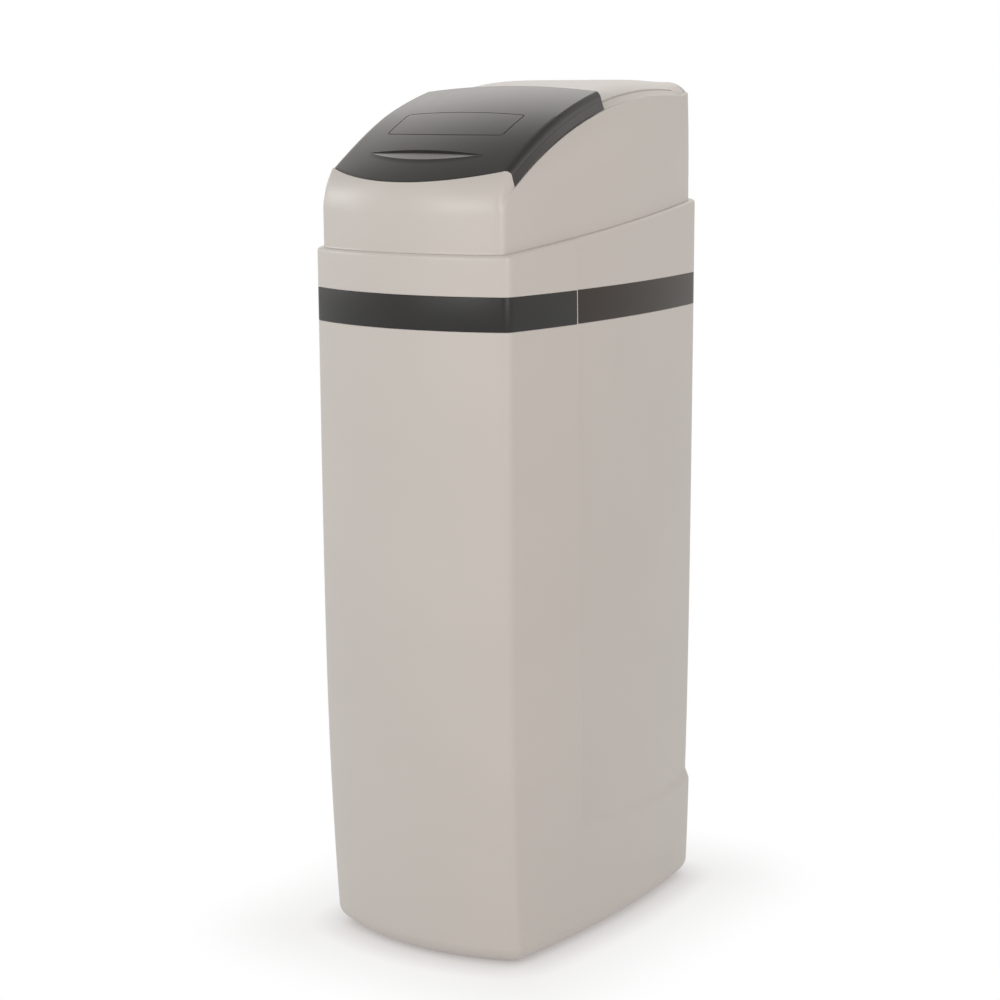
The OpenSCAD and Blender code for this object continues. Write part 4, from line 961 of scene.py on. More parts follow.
@dataclass
class Cover:
    """The lift-off cover: wall, shoulder, lip around the lid, deck with mouth and grooves, and tongue."""

    inset: float = 5.5
    side_inset: float = 9.5
    back_inset: float = 7.5
    front_fillet: float = 18.0
    wall: float = 3.0
    foot_gap: float = 0.05
    foot_edge: float = 0.3
    foot_flare: float = 0.5
    flare_h: float = 3.0
    shoulder: float = 962.0
    shoulder_lift: float = 8.0
    shoulder_climb: float = 0.6
    turn: float = math.radians(55.0)
    lip_edge: float = 1.2
    lip_half_w: float = 143.5
    ledge_half_w: float = 138.7
    rear_drop: float = 0.5
    corner_rise: float = 9.0
    corner_from: float = 202.0
    corner_run: float = 34.0
    deck_rise: float = 5.5
    deck_side_from: float = 80.0
    deck_side_run: float = 50.0
    rear_edge: float = 4.0
    rear_from: float = 150.0
    rear_run: float = 30.0
    rear_past: float = 4.0
    rear_side_run: float = 12.0
    rear_corner_from: float = 222.0
    rear_corner_run: float = 12.0
    lip: TopPlan = TopPlan(0.0, 0.0, 4.0, 10.0, 18.0)
    ledge: TopPlan = TopPlan(0.1, 0.0, 10.0, 7.0, 14.0)
    shelf: TopPlan = TopPlan(3.0, 2.5, 12.0, 6.0, 13.0)
    rail: TopPlan = TopPlan(6.0, 5.0, 14.0, 6.0, 12.0)
    ceiling: TopPlan = TopPlan(4.0, 4.5, 7.0, 5.0, 12.0)
    ceiling_run: float = 0.8
    mouth_front: Bow = Bow(0.0, 45.0, 253.0)
    mouth_side: Bow = Bow(-1388.0, -128.0, 1500.0)
    mouth_back: Bow = Bow(0.0, -2048.0, 2000.0)
    mouth_fillet: float = 12.0
    skirt_gap: float = 0.3
    lip_run: float = 6.5
    ledge_run: float = 3.0
    deck_t: float = 5.0
    deck_edge: float = 1.5
    tongue_out: float = 12.4
    tongue_in: float = 15.0
    tongue_h: float = 9.0
    tongue_up: float = 6.0
    inner_up: float = 12.0
    groove_w: float = 2.6
    groove_h: float = 20.0
    groove_from: float = math.radians(-31.5)
    groove_to: float = math.radians(3.6)
    notch_half_w: float = 92.0
    notch_top: float = 1064.0
    notch_y: tuple[float, float] = (192.0, 292.0)
    swing_rows: int = 20
    inner_swing_rows: int = 10
    edge_parts: int = 5
    lip_parts: int = 8
    flare_parts: int = 5
    plumb_parts: int = 9
    deck_parts: int = 16
    ceiling_parts: int = 8
    groove_parts: int = 40

    def wall_plan(self, inset: float) -> tuple[Array, Array]:
        """The wall's plan, drawn in."""
        p = PLAN
        points, normals = p.outline.loop(
            (self.inset + inset, self.side_inset + inset, self.side_inset + inset),
            (self.front_fillet - inset, p.rear_fillet - inset), p.step_y(p.rim), p.fine_run)
        return points[0], normals[0]

    def top_plan(self, half_w: float, shape: TopPlan) -> tuple[Array, Array]:
        """Lays a plan of the top: the lid's front arc, straight sides and the back's bow.

        Args:
            half_w: half width before the side inset.
            shape: insets and fillets.

        Returns:
            Points and normals.
        """
        p = PLAN
        outline = Outline(Bow(0.0, ARC.front_y, ARC.front_r + ARC.gap),
                          Bow(half_w - shape.side_in - ARC.flat_r, p.side.y, ARC.flat_r), p.back)
        points, normals = outline.loop((shape.front_in, 0.0, self.back_inset + shape.back_in),
                                       (shape.front_f, shape.rear_f), p.step_y(p.rim), p.fine_run)
        return points[0], normals[0]

    def mouth_plan(self, inset: float) -> Array:
        """The fill mouth's plan."""
        outline = Outline(self.mouth_front, self.mouth_side, self.mouth_back)
        points, _ = outline.loop((inset, inset, inset), (self.mouth_fillet, self.mouth_fillet),
                                 self.mouth_side.y, PLAN.fine_run)
        return points[0]

    def sided(self, points: Array, drop: float, low: float, run: float) -> Array:
        """Radius that follows the deck in the middle and falls to the side strips.

        Args:
            points: plan points.
            drop: how far it lies under the deck.
            low: radius of the side strips.
            run: width over which it falls.

        Returns:
            The radius at each point.
        """
        x, y = points.T
        return mix(self.deck_r(np.clip(x, -ARC.flat, ARC.flat), y) - drop, low + self.risen(y),
                   np.clip((np.abs(x) - ARC.flat) / run, 0.0, 1.0))

    def lip_r(self, points: Array) -> Array:
        """Radius of the lip: the lid's own profile in front, and just under the deck behind."""
        x, y = points.T
        low = ARC.skirt_r - self.skirt_gap
        rear = self.sided(points, self.rear_drop, low, self.lip_run)
        front = np.maximum(ARC.lid_side(x), low) - np.where(np.abs(x) > ARC.half_w, self.skirt_gap, 0.0)
        return np.where(y > 0.0, rear, np.maximum(front, low))

    def ledge_r(self, points: Array) -> Array:
        """Radius of the ledge that the lid's edge hangs over."""
        return self.sided(points, 0.0, ARC.skirt_r - 2.0 * self.skirt_gap, self.ledge_run)

    def deck_r(self, x: Array, y: Array) -> Array:
        """Radius of the deck, raised a little into the rear corners."""
        corner = (smooth((y - self.corner_from) / self.corner_run)
                  * smooth((np.abs(x) - self.deck_side_from) / self.deck_side_run))
        return ARC.deck_top(x) + self.deck_rise * corner

    def risen(self, y: Array) -> Array:
        """Rise of the side strips into the rear corners, behind the lid's travel."""
        return self.corner_rise * smooth((y - self.corner_from) / self.corner_run)

    @staticmethod
    def lay(points: Array, z: Array) -> Array:
        """Sets plan points at heights."""
        return np.concatenate([points, np.broadcast_to(z, points.shape[:1])[:, None]], -1)

    def over(self, points: Array, r: Array) -> Array:
        """Sets plan points on the arc at a radius."""
        return self.lay(points, ARC.height(r, points[:, 1]))

    def swing(self, foot: Array, top: Array, t: Array) -> Array:
        """Turns the wall in: across by 1 - cos and up by sin of the shoulder's turn, as shares."""
        across = (1.0 - np.cos(self.turn * t)) / (1.0 - math.cos(self.turn))
        up = np.sin(self.turn * t) / math.sin(self.turn)
        share = np.stack([across, across, up], -1)[:, None, :]
        return foot[None] + (top - foot)[None] * share

    def deck_rows(self, a: Array, b: Array, parts: Array, drop: float) -> Array:
        """Rows across the deck between two plans, on the deck's own curve."""
        points = mix(a[None, :, :2], b[None, :, :2], parts[:, None, None])
        z = ARC.height(self.deck_r(points[..., 0], points[..., 1]) - drop, points[..., 1])
        return np.concatenate([points, z[..., None]], -1)

    def foot_rows(self) -> Array:
        """The wall's lower edge, rounded, and the plumb wall up to the shoulder."""
        edge = self.foot_edge
        start = self.foot_gap + edge
        plan, normal = self.wall_plan(0.0)
        base = PLAN.rim_at(plan[:, 1])
        low = [self.lay(plan + (self.foot_flare - edge * (1 - math.sin(k))) * normal,
                        base + self.foot_gap + edge * (1 - math.cos(k))) for k in quarter(self.edge_parts)]
        flare = [self.lay(plan + self.foot_flare * (1.0 - t) ** 2 * normal, base + start + self.flare_h * t)
                 for t in even(self.flare_parts)]
        high = self.shoulder_at(plan)
        wall = [self.lay(plan, mix(base + start + self.flare_h, high, t)) for t in even(self.plumb_parts)]
        return np.stack(low + flare + wall)

    def shoulder_at(self, plan: Array) -> Array:
        """Height at which the wall starts to turn in, higher towards the corners and with the rim's climb."""
        side = self.shoulder_lift * np.minimum(1.0, np.abs(plan[:, 0]) / ARC.flat) ** 2
        return self.shoulder + side + self.shoulder_climb * (PLAN.rim_at(plan[:, 1]) - PLAN.rim)

    def top_rows(self, foot: Array) -> Array:
        """The turned shoulder, the rounded lip, the ledge under the lid's edge and the deck to the mouth."""
        lip, normal = self.top_plan(self.lip_half_w, self.lip)
        lip_z = ARC.height(self.lip_r(lip), lip[:, 1])
        ledge_z = ARC.height(self.ledge_r(lip), lip[:, 1])
        edge = np.clip((lip_z - ledge_z) / 2.0, 0.0, self.lip_edge)
        back = (smooth((lip[:, 1] - self.rear_from) / self.rear_run)
                * smooth((ARC.flat + self.rear_past - np.abs(lip[:, 0])) / self.rear_side_run))
        corner = smooth((lip[:, 1] - self.rear_corner_from) / self.rear_corner_run)
        behind = self.rear_edge * np.maximum(back, corner)
        crest = self.lay(lip + edge[:, None] * normal, lip_z - behind)
        rounding = [self.lay(lip + (edge * (1 - math.sin(a)) - behind * (1 - math.cos(a)))[:, None] * normal,
                             lip_z - edge * (1 - math.cos(a)) - behind * (1 - math.sin(a)))
                    for a in quarter(self.lip_parts)[1:]]
        drop = self.lay(lip - behind[:, None] * normal, np.minimum(ledge_z, lip_z - edge))
        ledge, shelf, rail = (self.top_plan(self.ledge_half_w, shape)[0]
                              for shape in (self.ledge, self.shelf, self.rail))
        far = np.abs(shelf[:, 0]) > ARC.flat
        mouth = self.mouth_plan(-self.deck_edge)
        rim = [self.deck_rows(self.mouth_plan(-self.deck_edge * (1 - math.sin(a))), mouth, np.zeros(1),
                              self.deck_edge * (1 - math.cos(a)))[0] for a in quarter(self.edge_parts)[1:]]
        return np.concatenate([
            self.swing(foot, crest, even(self.swing_rows)),
            np.stack(rounding + [drop, self.over(ledge, self.ledge_r(ledge)),
                                 self.over(shelf, self.deck_r(*shelf.T) - np.where(far, self.deck_edge, 0.0)),
                                 self.over(rail, self.deck_r(*rail.T))]),
            self.deck_rows(rail, mouth, even(self.deck_parts), 0.0),
            np.stack(rim)])

    def inner_rows(self) -> Array:
        """The underside: ceiling, the wall's inner face and the tongue inside the rim."""
        p = PLAN
        mouth = self.mouth_plan(0.0)
        ceiling, _ = self.top_plan(self.ledge_half_w, self.ceiling)
        x = ceiling[:, 0]
        low = ARC.skirt_r - 2.0 * self.skirt_gap - self.wall
        radius = mix(self.deck_r(*ceiling.T) - self.deck_t, low,
                     np.clip((np.abs(x) - ARC.flat) / self.ceiling_run, 0.0, 1.0))
        plan, _ = self.wall_plan(self.wall)
        foot = self.lay(plan, self.shoulder_at(plan))
        tongue = [(self.tongue_up, self.tongue_in), (-self.tongue_h, self.tongue_in),
                  (-self.tongue_h, self.tongue_out), (self.foot_gap, self.tongue_out)]
        rings = [(p.ring(p.rim, inset, 0.0)[0][0], z) for z, inset in tongue]
        return np.concatenate([
            self.deck_rows(mouth, ceiling, np.linspace(0.0, 1.0, self.ceiling_parts + 1)[:-1], self.deck_t),
            self.swing(foot, self.over(ceiling, radius), even(self.inner_swing_rows)[::-1]),
            np.stack([self.lay(plan, p.rim_at(plan[:, 1]) + self.inner_up)]
                     + [self.lay(ring, p.rim_at(ring[:, 1]) + z) for ring, z in rings])])

    def cutters(self) -> list[bpy.types.Object]:
        """Bars that cut the two lid grooves, and a block that cuts the pipe notch."""
        a = np.linspace(self.groove_from, self.groove_to, self.groove_parts)[:, None]
        cuts = []
        for side in (-1.0, 1.0):
            x = side * ARC.runner_x + np.array([-0.5, 0.5, 0.5, -0.5]) * self.groove_w
            r = ARC.groove_r + np.array([0.0, 0.0, self.groove_h, self.groove_h])
            cuts.append(swept(ARC.laid(x, a, r), "groove_cut"))
        corner = np.array([-1.0, 1.0, 1.0, -1.0]) * self.notch_half_w
        y = np.array(self.notch_y)[:, None]
        z = np.array([PLAN.rim, PLAN.rim, self.notch_top, self.notch_top])
        cuts.append(swept(np.stack(np.broadcast_arrays(corner, y, z), -1), "notch_cut"))
        return cuts

    def build(self, dresser: Dresser) -> None:
        """Makes the cover as one closed loop of rows, then cuts its grooves and notch."""
        foot = self.foot_rows()
        surface = Surface()
        numbers = surface.add(np.concatenate([foot, self.top_rows(foot[-1]), self.inner_rows()]))
        surface.skin(numbers, loop_rows=True, loop_columns=True)
        shell = surface.make("cover_shell")
        for cutter in self.cutters():
            carve(shell, cutter)
        dresser.fit(shell, "cover", "shell", "top_cover")


@dataclass
class Lid:
    """The dark sliding lid: cambered crown, rounded edges, flared skirts, label outline, finger scoop."""

    thickness: float = 3.0
    rear: float = math.radians(-13.6)
    edge_round: float = 0.8
    label_at: float = math.radians(-25.3)
    label_half: tuple[float, float] = (89.5, 28.0)
    label_bow: float = 8.0
    bow_run: float = 38.0
    bow_past: float = 1.5
    label_line: float = 1.4
    line_step: float = 0.15
    line_past: float = 0.6
    label_depth: float = 1.1
    label_corner: float = 5.0
    recess_at: float = math.radians(-31.68)
    recess_r: float = 646.5
    recess_up: float = 0.8
    recess_low: float = 21.0
    recess_wall: float = 0.5
    scoop_depth: float = 2.5
    scoop_lip: float = 0.8
    scoop_roll: float = 8.0
    scoop_power: float = 1.15
    recess_floor: float = 3.0
    widen: float = 4.0
    level: float = 3.6
    edge_reach: float = 8.0
    bead_w: float = 0.4
    bead_h: float = 0.6
    widen_from: float = math.radians(-34.0)
    widen_run: float = math.radians(13.0)
    skirt_end: float = 620.5
    foot_round: float = 0.5
    corner_past: float = 1.0
    seat: float = 0.14
    side_share: float = 0.7
    groove_soft: float = 0.25
    tip_spread: float = 0.9
    under_spread: float = 87.0 / 83.0
    under_past: float = 3.0
    under_soft: float = 1.5
    hem_parts: int = 6
    runner_t: float = 1.8
    runner_edge: float = 0.4
    runner_gap: float = 0.3
    runner_parts: int = 36
    crown_columns: int = 22
    side_columns: int = 12
    bend_parts: int = 14
    bead_parts: int = 7
    skirt_parts: int = 5
    foot_parts: int = 4
    rear_rows: int = 26
    label_rows: int = 14
    gap_rows: int = 10
    front_rows: int = 14
    runner_front: float = math.radians(-31.0)
    runner_rear: float = math.radians(-14.1)

    def columns(self) -> tuple[Array, Array, Array, Array]:
        """The section: crown, closely divided at the label's sides, rounded edge, flared skirt, round foot.

        Returns:
            Outer x and radius, inner x and radius, from left to right.
        """
        a = ARC
        w = self.label_half[0]
        dense = np.concatenate([np.arange(w - 6.0, w - 1.6, 0.5),
                                np.arange(w - 1.6, w + self.line_past, self.line_step)])
        base = np.concatenate([np.linspace(0.0, w - 6.5, self.crown_columns), dense,
                               np.linspace(w + 1.5, a.flat, self.side_columns)])
        slope = math.atan(2.0 * a.camber / a.flat)
        bend = math.pi / 2 - slope - (math.pi / 2 - slope) * even(self.bend_parts)
        side = a.lid_top(a.flat) - a.edge
        curl = quarter(self.foot_parts)[1:]
        foot = self.foot_round * (1 - np.cos(curl))
        rise = self.foot_round * (1 - np.sin(curl))
        outer_x = a.flat + self.edge_reach
        skirt = mix(np.array([outer_x + self.bead_w, side - self.bead_h]),
                    np.array([a.half_w, self.skirt_end + self.foot_round]), even(self.skirt_parts)[1:, None])
        ledge = even(self.bead_parts)[1:]
        ledge_r = side - self.bead_h * ledge
        out_x = np.concatenate([base, a.flat + self.edge_reach * np.cos(bend),
                                outer_x + self.bead_w * smooth(ledge), skirt[:, 0], a.half_w - foot])
        out_r = np.concatenate([a.lid_top(base), side + a.edge * np.sin(bend) - self.seat * np.sin(bend),
                                ledge_r, skirt[:, 1], self.skirt_end + rise])
        t = self.thickness
        in_x = np.concatenate([base, a.flat + (self.edge_reach - t) * np.cos(bend),
                               np.full(ledge.size, outer_x + self.bead_w - t), skirt[:, 0] - t,
                               a.half_w - t + foot])
        in_r = np.concatenate([a.lid_top(base) - t, side + (a.edge - t) * np.sin(bend), ledge_r, skirt[:, 1],
                               out_r[-foot.size:]])
        mirror = [np.concatenate([-v[:0:-1], v]) for v in (out_x, in_x)]
        same = [np.concatenate([v[:0:-1], v]) for v in (out_r, in_r)]
        return mirror[0], same[0], mirror[1], same[1]

    def front_at(self, x: Array, r: Array) -> Array:
        """Angle of the front edge: the plan's front arc and corner fillet, seen at a radius."""
        a = ARC
        cx, cy = crossing(Bow(0.0, a.front_y, 0.0), np.array(a.front_r - a.corner),
                          Bow(a.half_w + self.corner_past - a.flat_r, PLAN.side.y, 0.0),
                          np.array(a.flat_r - a.corner), 1.0)
        far = np.abs(x)
        touch = cx + a.corner * cx / (a.front_r - a.corner)
        arc = a.front_y - np.sqrt(a.front_r ** 2 - np.minimum(far, touch) ** 2)
        corner = cy - np.sqrt(np.maximum(a.corner ** 2 - (far - cx) ** 2, 0.0))
        y = np.where(far <= touch, arc, corner)
        return np.arcsin((y - a.y) / r)

    def lens(self, x: Array) -> tuple[Array, Array]:
        """Reach of the finger recess above and below its line: parabolas that close at its tips."""
        u = 1.0 - (x / self.label_half[0]) ** 2
        return self.recess_up * u, self.recess_low * u

    def angles(self, x: Array, r: Array) -> Array:
        """Angle of every row at every column: straight rows, rows round the scoop, rows to the front edge.

        Args:
            x: column places.
            r: column radii.

        Returns:
            Angles, rows x columns, from the rear edge to the front edge.
        """
        half = self.label_half[1] / ARC.crown
        mm = 1.0 / ARC.crown
        hem = self.edge_round * mm * (1 - np.sin(quarter(self.hem_parts)))[::-1]
        line = np.concatenate([np.arange(half + self.line_past * mm, half - 1.7 * mm, -self.line_step * mm),
                               np.arange(half - 2.0 * mm, half - 6.2 * mm, -0.6 * mm)])
        straight = np.concatenate([
            self.rear - hem,
            np.linspace(self.rear - 2.0 * mm, self.label_at + half + 1.2 * mm, self.rear_rows),
            self.label_at + line,
            np.linspace(half - 8.0 * mm, -half + 8.0 * mm, self.label_rows) + self.label_at,
            self.label_at - line[::-1],
            np.linspace(self.label_at - half - 1.5 * mm, self.recess_at + 14.0 * mm, self.gap_rows)])
        up, low = self.lens(x)
        above = np.array([10.0, 7.5, 5.0, 3.0, 1.5, 0.7, 0.25, 0.05, -0.1, -0.2, -0.3, -0.4, -0.5])
        within = np.array([0.03, 0.08, 0.15, 0.24, 0.35, 0.47, 0.59, 0.71, 0.82, 0.9, 0.95, 0.98, 1.0])
        beyond = np.array([0.15, 0.4, 0.8, 1.4, 2.2, 3.2, 4.6, 6.4, 8.4])
        top = np.maximum(up, 0.0)
        span = np.hypot(top + np.maximum(low, 0.0) - self.recess_wall, self.tip_spread)
        foot = top - self.recess_wall - span
        around = self.recess_at + mm * np.concatenate([
            top + above[:, None], top - self.recess_wall - within[:, None] * span, foot - beyond[:, None]])
        front = self.front_at(x, r)
        near = front + (self.edge_round * mm)
        fixed = self.recess_at + mm * (foot - beyond[-1] - 1.2)
        ends = np.concatenate([mix(fixed, near, np.linspace(0.0, 1.0, self.front_rows)[:, None]),
                               front + hem[::-1][1:, None]])
        return np.concatenate([np.broadcast_to(straight[:, None], (straight.size, x.size)), around, ends])

    def sink(self, x: Array, angle: Array, r: Array) -> Array:
        """Radius with the label's groove and the finger scoop taken out.

        The groove lies where the distance to a round-cornered frame is within the line's width.

        Args:
            x: column places.
            angle: angles, rows x columns.
            r: outer radius of each column.

        Returns:
            Radii, rows x columns.
        """
        along = (angle - self.label_at) * ARC.crown
        c = self.label_corner
        qx = np.abs(x)[None, :] - (self.label_half[0] - c)
        qy = np.abs(along) - (self.label_half[1] - c)
        gap = np.hypot(np.maximum(qx, 0.0), np.maximum(qy, 0.0)) + np.minimum(np.maximum(qx, qy), 0.0) - c
        middle = np.abs(gap + self.label_line / 2.0)
        groove = self.label_depth * smooth((self.label_line / 2.0 - middle) / self.groove_soft)
        return r + self.scoop(x, angle) - groove

    def scoop(self, x: Array, angle: Array) -> Array:
        """Height of the finger scoop over the crown.

        Behind its upper line the floor drops by a short wall, then rises as a power of the way down to a lip
        that stands a little proud at the lower line and rolls off as a falling parabola in front of it.

        Args:
            x: column places.
            angle: angles, rows x columns.

        Returns:
            Heights, rows x columns.
        """
        reach = (angle - self.recess_at) * ARC.crown
        up, low = self.lens(x)
        open_share = np.sqrt(np.clip(1.0 - (x / self.label_half[0]) ** 2, 0.0, 1.0))
        way = np.clip((up - reach) / np.maximum(up + low, 1e-6), 0.0, 1.0)
        floor = -self.scoop_depth * (1.0 - way ** self.scoop_power) + self.scoop_lip * way
        wall = smooth((up - reach) / self.recess_wall)
        roll = np.clip(1.0 - (-low - reach) / self.scoop_roll, 0.0, 1.0) ** 2
        front = self.scoop_lip * roll
        lens = np.where(reach > up, 0.0, np.where(reach >= -low, floor * wall, front))
        return open_share * lens

    def under(self, x: Array, angle: Array, r: Array) -> Array:
        """Radius of the underside, lowered round the finger recess to keep a floor there."""
        reach = (angle - self.recess_at) * ARC.crown
        up, low = self.lens(x * self.under_spread)
        inside = np.minimum(up + self.under_past - reach, low + self.under_past + reach)
        floor = (self.recess_r - self.recess_floor) / np.cos(angle - self.recess_at)
        return np.where(inside > 0.0, mix(r, np.minimum(floor, r), smooth(inside / self.under_soft)), r)

    def build(self, dresser: Dresser) -> None:
        """Makes the shell from its outer and inner grids, closed all round, and the two runners."""
        out_x, out_r, in_x, in_r = self.columns()
        angle = self.angles(out_x, out_r)
        hem = self.edge_round * (1 - np.cos(quarter(self.hem_parts)))[::-1]
        fall = np.zeros(angle.shape[0])
        fall[:hem.size] = hem
        fall[-hem.size:] = hem[::-1]
        side = np.abs(out_x) > ARC.flat + ARC.edge * self.side_share
        radius = self.sink(out_x, angle, out_r) - np.where(side, 0.0, 1.0) * fall[:, None]
        outer = self.flared(out_x - np.sign(out_x) * np.where(side, 1.0, 0.0) * fall[:, None], angle, radius)
        inner_angle = self.angles(in_x, in_r)
        inner = self.flared(in_x, inner_angle, self.under(in_x, inner_angle, in_r))
        surface = Surface()
        a, b = surface.add(outer), surface.add(inner)
        surface.skin(np.concatenate([a, b[:, ::-1]], 1), loop_columns=True)
        surface.skin(np.stack([a[0], b[0]]))
        surface.skin(np.stack([a[-1], b[-1]]))
        dresser.fit(surface.make("lid_shell"), "lid", "lid", "salt_lid")
        for side_name, sign in (("left", -1.0), ("right", 1.0)):
            dresser.fit(self.runner(sign, "lid_runner_" + side_name), "lid", "lid")

    def bowed(self, x: Array, angle: Array) -> Array:
        """Angles with the label's lower line drawn forward in the middle, fading out above and below it."""
        half = self.label_half[1]
        down = (self.label_at - angle) * ARC.crown
        share = smooth(down / half) - smooth((down - half - self.bow_past) / self.bow_run)
        across = np.clip(1.0 - (x / self.label_half[0]) ** 2, 0.0, 1.0)
        return angle - self.label_bow / ARC.crown * share * across

    def flared(self, x: Array, angle: Array, r: Array) -> Array:
        """Points of the lid: its crown widens and levels towards the rear while the skirts' feet stay."""
        t = smooth((angle - self.widen_from) / self.widen_run)
        far = np.abs(x)
        foot = np.clip((ARC.half_w - far) / (ARC.half_w - ARC.flat), 0.0, 1.0)
        out = np.where(far <= ARC.flat, far / ARC.flat, foot)
        up = np.where(far <= ARC.flat, (far / ARC.flat) ** 2, foot)
        return ARC.laid(x + np.sign(x) * self.widen * t * out, self.bowed(x, angle), r + self.level * t * up)

    def runner(self, sign: float, name: str) -> bpy.types.Object:
        """A thin rib swept along the arc, that runs in the cover's groove."""
        edge = self.runner_edge
        low = ARC.groove_r + self.runner_gap
        high = float(ARC.lid_top(ARC.runner_x)) - self.thickness / 2.0
        share = np.array([-0.5, -0.5 + edge / 2, 0.5 - edge / 2, 0.5, 0.5, -0.5])
        x = sign * ARC.runner_x + self.runner_t * share
        a = np.linspace(self.runner_front, self.runner_rear, self.runner_parts)[:, None]
        t = smooth((a - self.widen_from) / self.widen_run)
        top = np.array([0, 0, 0, 0, 1, 1])
        r = np.array([low + edge, low, low, low + edge, high, high]) + t * self.level * top
        return swept(ARC.laid(x, a, r), name)


@dataclass(frozen=True)
class Lamp:
    """One soft box.

    Args:
        name: the lamp's name.
        place: where it hangs, in metres.
        aim: the point it faces.
        size: its width and height in metres.
        power: its power in watts.
        colour: its colour.
    """

    name: str
    place: tuple[float, float, float]
    aim: tuple[float, float, float]
    size: tuple[float, float]
    power: float
    colour: tuple[float, float, float] = (1.0, 1.0, 1.0)

    def hang(self) -> None:
        """Makes the lamp and turns it to its aim."""
        data = bpy.data.lights.new(self.name, "AREA")
        data.shape = "RECTANGLE"
        data.size, data.size_y = self.size
        data.energy = self.power
        data.color = self.colour
        lamp = bpy.data.objects.new(self.name, data)
        bpy.context.scene.collection.objects.link(lamp)
        lamp.location = self.place
        lamp.rotation_euler = (Vector(self.aim) - Vector(self.place)).to_track_quat("-Z", "Y").to_euler()


LAMPS = (
    Lamp("left_box", (-2.15, -0.9, 1.4), (0.0, 0.0, 0.8), (0.9, 0.45), 6.0),
    Lamp("front_box", (-0.1, -2.7, 1.45), (0.0, 0.0, 0.8), (1.4, 0.45), 15.0),
    Lamp("right_box", (2.36, -1.1, 1.3), (0.0, 0.0, 0.8), (0.8, 0.8), 13.0, (1.0, 0.94, 0.9)),
    Lamp("edge_box", (1.9, 2.1, 1.6), (0.0, 0.0, 1.0), (0.5, 0.2), 0.6),
)


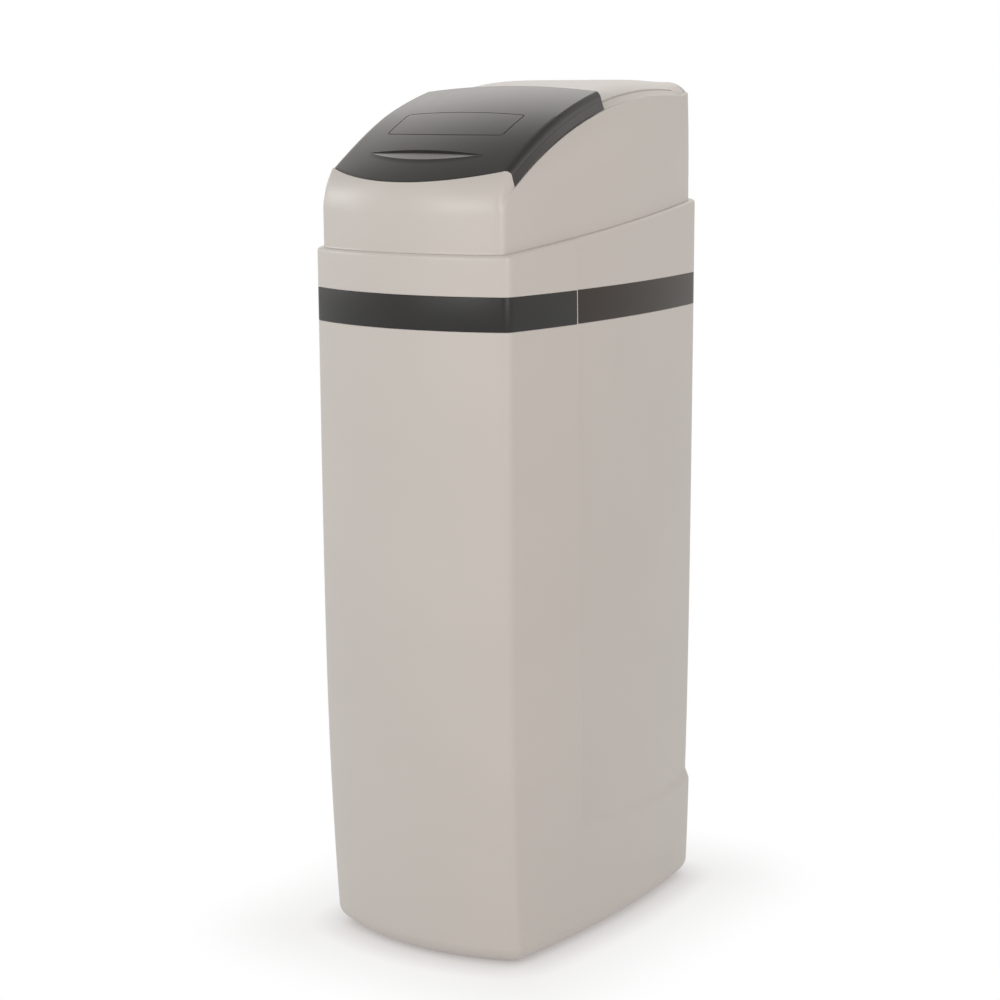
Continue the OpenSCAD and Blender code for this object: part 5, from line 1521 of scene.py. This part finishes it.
@dataclass
class Studio:
    """Camera, pale floor, soft world and lamps."""

    camera_at: tuple[float, float, float] = (1.7074, -2.4520, 1.1243)
    azimuth: float = math.radians(35.094)
    elevation: float = math.radians(10.492)
    roll: float = math.radians(-0.3351)
    lens: float = 80.6
    sensor: float = 36.0
    floor_half: float = 14.0
    backdrop: tuple[float, float, float] = (1.0, 1.0, 1.0)
    ambient: float = 0.52
    zenith: float = 0.45
    # painted shade: share of the floor's white glow left at the part's base, rising to all of it over the
    # reach below
    painted_shade_share: float = 0.79
    painted_shade_reach: float = 0.22
    foot_half: tuple[float, float] = (0.146, 0.216)
    # painted contact shadow: how much ambient occlusion darkens the floor's glow next to the part, over this
    # reach and sample count
    painted_contact_shadow: float = 0.75
    painted_contact_reach: float = 0.05
    painted_contact_samples: int = 6
    floor_bounce: float = 0.36
    # the floor's diffuse colour, pink-tinted; it shows through in the painted shade near the base and in the
    # floor's bounce light
    floor_colour: tuple[float, float, float, float] = (0.62, 0.57, 0.55, 1.0)
    glow_way: tuple[float, float, float] = (-0.25, 0.92, 0.30)
    glow: float = 1.45
    glow_near: tuple[float, float] = (0.55, 0.95)
    glow_high: tuple[float, float] = (0.2, 0.5)
    horizon: float = 1.1
    sky_high: tuple[float, float] = (0.2, 0.7)
    warm: tuple[float, float, float] = (1.0, 0.97, 0.945)

    def shoot(self) -> None:
        """Places the camera at the photograph's viewing angle."""
        data = bpy.data.cameras.new("camera")
        data.lens = self.lens
        data.sensor_width = self.sensor
        camera = bpy.data.objects.new("camera", data)
        bpy.context.scene.collection.objects.link(camera)
        az, el = self.azimuth, self.elevation
        ahead = Vector((-math.sin(az) * math.cos(el), math.cos(az) * math.cos(el), -math.sin(el)))
        level = Vector((math.cos(az), math.sin(az), 0.0))
        up = Vector((-math.sin(az) * math.sin(el), math.cos(az) * math.sin(el), math.cos(el)))
        across = level * math.cos(self.roll) + up * math.sin(self.roll)
        over = up * math.cos(self.roll) - level * math.sin(self.roll)
        place = Matrix((across, over, -ahead)).transposed().to_4x4()
        place.translation = Vector(self.camera_at)
        camera.matrix_world = place
        bpy.context.scene.camera = camera

    def floor(self) -> None:
        """Lays a pale floor that the camera sees nearly white, with painted shade round the part's base:
        there the white glow gives way to the lit diffuse floor, which keeps the part's real shadow, and
        ambient occlusion darkens the glow as a painted contact shadow.
        """
        surface = Surface()
        reach = np.linspace(-self.floor_half, self.floor_half, 5) / MM
        x, y = np.meshgrid(reach, reach)
        surface.skin(surface.add(np.stack([x, y, np.zeros_like(x)], -1)))
        plane = surface.make("floor")
        material = bpy.data.materials.new("floor")
        tree = emptied(material)
        cast = tree.put("ShaderNodeBsdfDiffuse", {"Color": self.floor_colour})
        glow = tree.put("ShaderNodeEmission", {"Color": (1.0, 1.0, 1.0, 1.0), "Strength": 1.0})
        path = tree.put("ShaderNodeLightPath").outputs
        seen = tree.math("MAXIMUM", path["Is Camera Ray"], path["Is Glossy Ray"])
        place = tree.put("ShaderNodeTexCoord").outputs["Object"]
        axis = tree.put("ShaderNodeSeparateXYZ", {0: place}).outputs
        past = [tree.math("SUBTRACT", tree.math("ABSOLUTE", axis[k]), self.foot_half[k]) for k in (0, 1)]
        out = [tree.math("MAXIMUM", value, 0.0) for value in past]
        square = tree.math("MULTIPLY_ADD", out[0], out[0], tree.math("MULTIPLY", out[1], out[1]))
        far = tree.math("SQRT", square)
        # painted shade: the glow thins towards the base, so the darker diffuse floor shows there
        white = tree.between(tree.stretched(far, 0.0, self.painted_shade_reach), self.painted_shade_share, 1.0)
        # painted contact shadow: ambient occlusion darkens the glow next to the part
        clear = tree.put("ShaderNodeAmbientOcclusion", {"Distance": self.painted_contact_reach},
                         samples=self.painted_contact_samples).outputs["AO"]
        kept = tree.math("MULTIPLY_ADD", clear, self.painted_contact_shadow, 1.0 - self.painted_contact_shadow)
        # painted shade and painted contact shadow together give the glow's share seen by the camera
        painted_floor_shade = tree.math("MULTIPLY", white, kept)
        share = tree.between(seen, self.floor_bounce, painted_floor_shade)
        both = tree.put("ShaderNodeMixShader", {0: share, 1: cast.outputs[0], 2: glow.outputs[0]})
        tree.put("ShaderNodeOutputMaterial", {"Surface": both.outputs[0]})
        plane.data.materials.append(material)

    def world(self) -> None:
        """Soft light all round, and a white backdrop for what is seen straight, mirrored or through glass."""
        world = bpy.data.worlds.new("studio")
        bpy.context.scene.world = world
        tree = emptied(world)
        path = tree.put("ShaderNodeLightPath").outputs
        mirrored = tree.math("MAXIMUM", path["Is Glossy Ray"], path["Is Transmission Ray"])
        way = tree.put("ShaderNodeTexCoord").outputs["Generated"]
        high = tree.put("ShaderNodeSeparateXYZ", {0: way}).outputs[2]
        near = tree.put("ShaderNodeVectorMath", {0: way, 1: self.glow_way},
                        operation="DOT_PRODUCT").outputs["Value"]
        sky = tree.between(tree.stretched(high, *self.sky_high), self.horizon, self.zenith)
        panel = tree.math("MULTIPLY", tree.stretched(near, *self.glow_near),
                          tree.stretched(high, *self.glow_high))
        room = tree.math("MULTIPLY_ADD", panel, self.glow, sky)
        strength = tree.between(path["Is Camera Ray"], tree.between(mirrored, self.ambient, room), 1.0)
        tint = tree.mixed(path["Is Camera Ray"], (*self.warm, 1.0), (*self.backdrop, 1.0))
        light = tree.put("ShaderNodeBackground", {"Color": tint, "Strength": strength})
        tree.put("ShaderNodeOutputWorld", {"Surface": light.outputs[0]})

    def build(self) -> None:
        """Sets up the picture."""
        bpy.context.scene.view_settings.view_transform = "Standard"
        self.shoot()
        self.floor()
        self.world()
        for lamp in LAMPS:
            lamp.hang()


def main() -> None:
    """Builds the studio, dresses the solids that stay, then makes the shells."""
    logging.basicConfig(level=logging.INFO, format="%(message)s")
    Studio().build()
    dresser = Dresser()
    dresser.nodes(frame["record"], frame["nodes"])
    for assembly in (Tub(), Bands(), Cover(), Lid()):
        assembly.build(dresser)


if __name__ == "__main__":
    main()
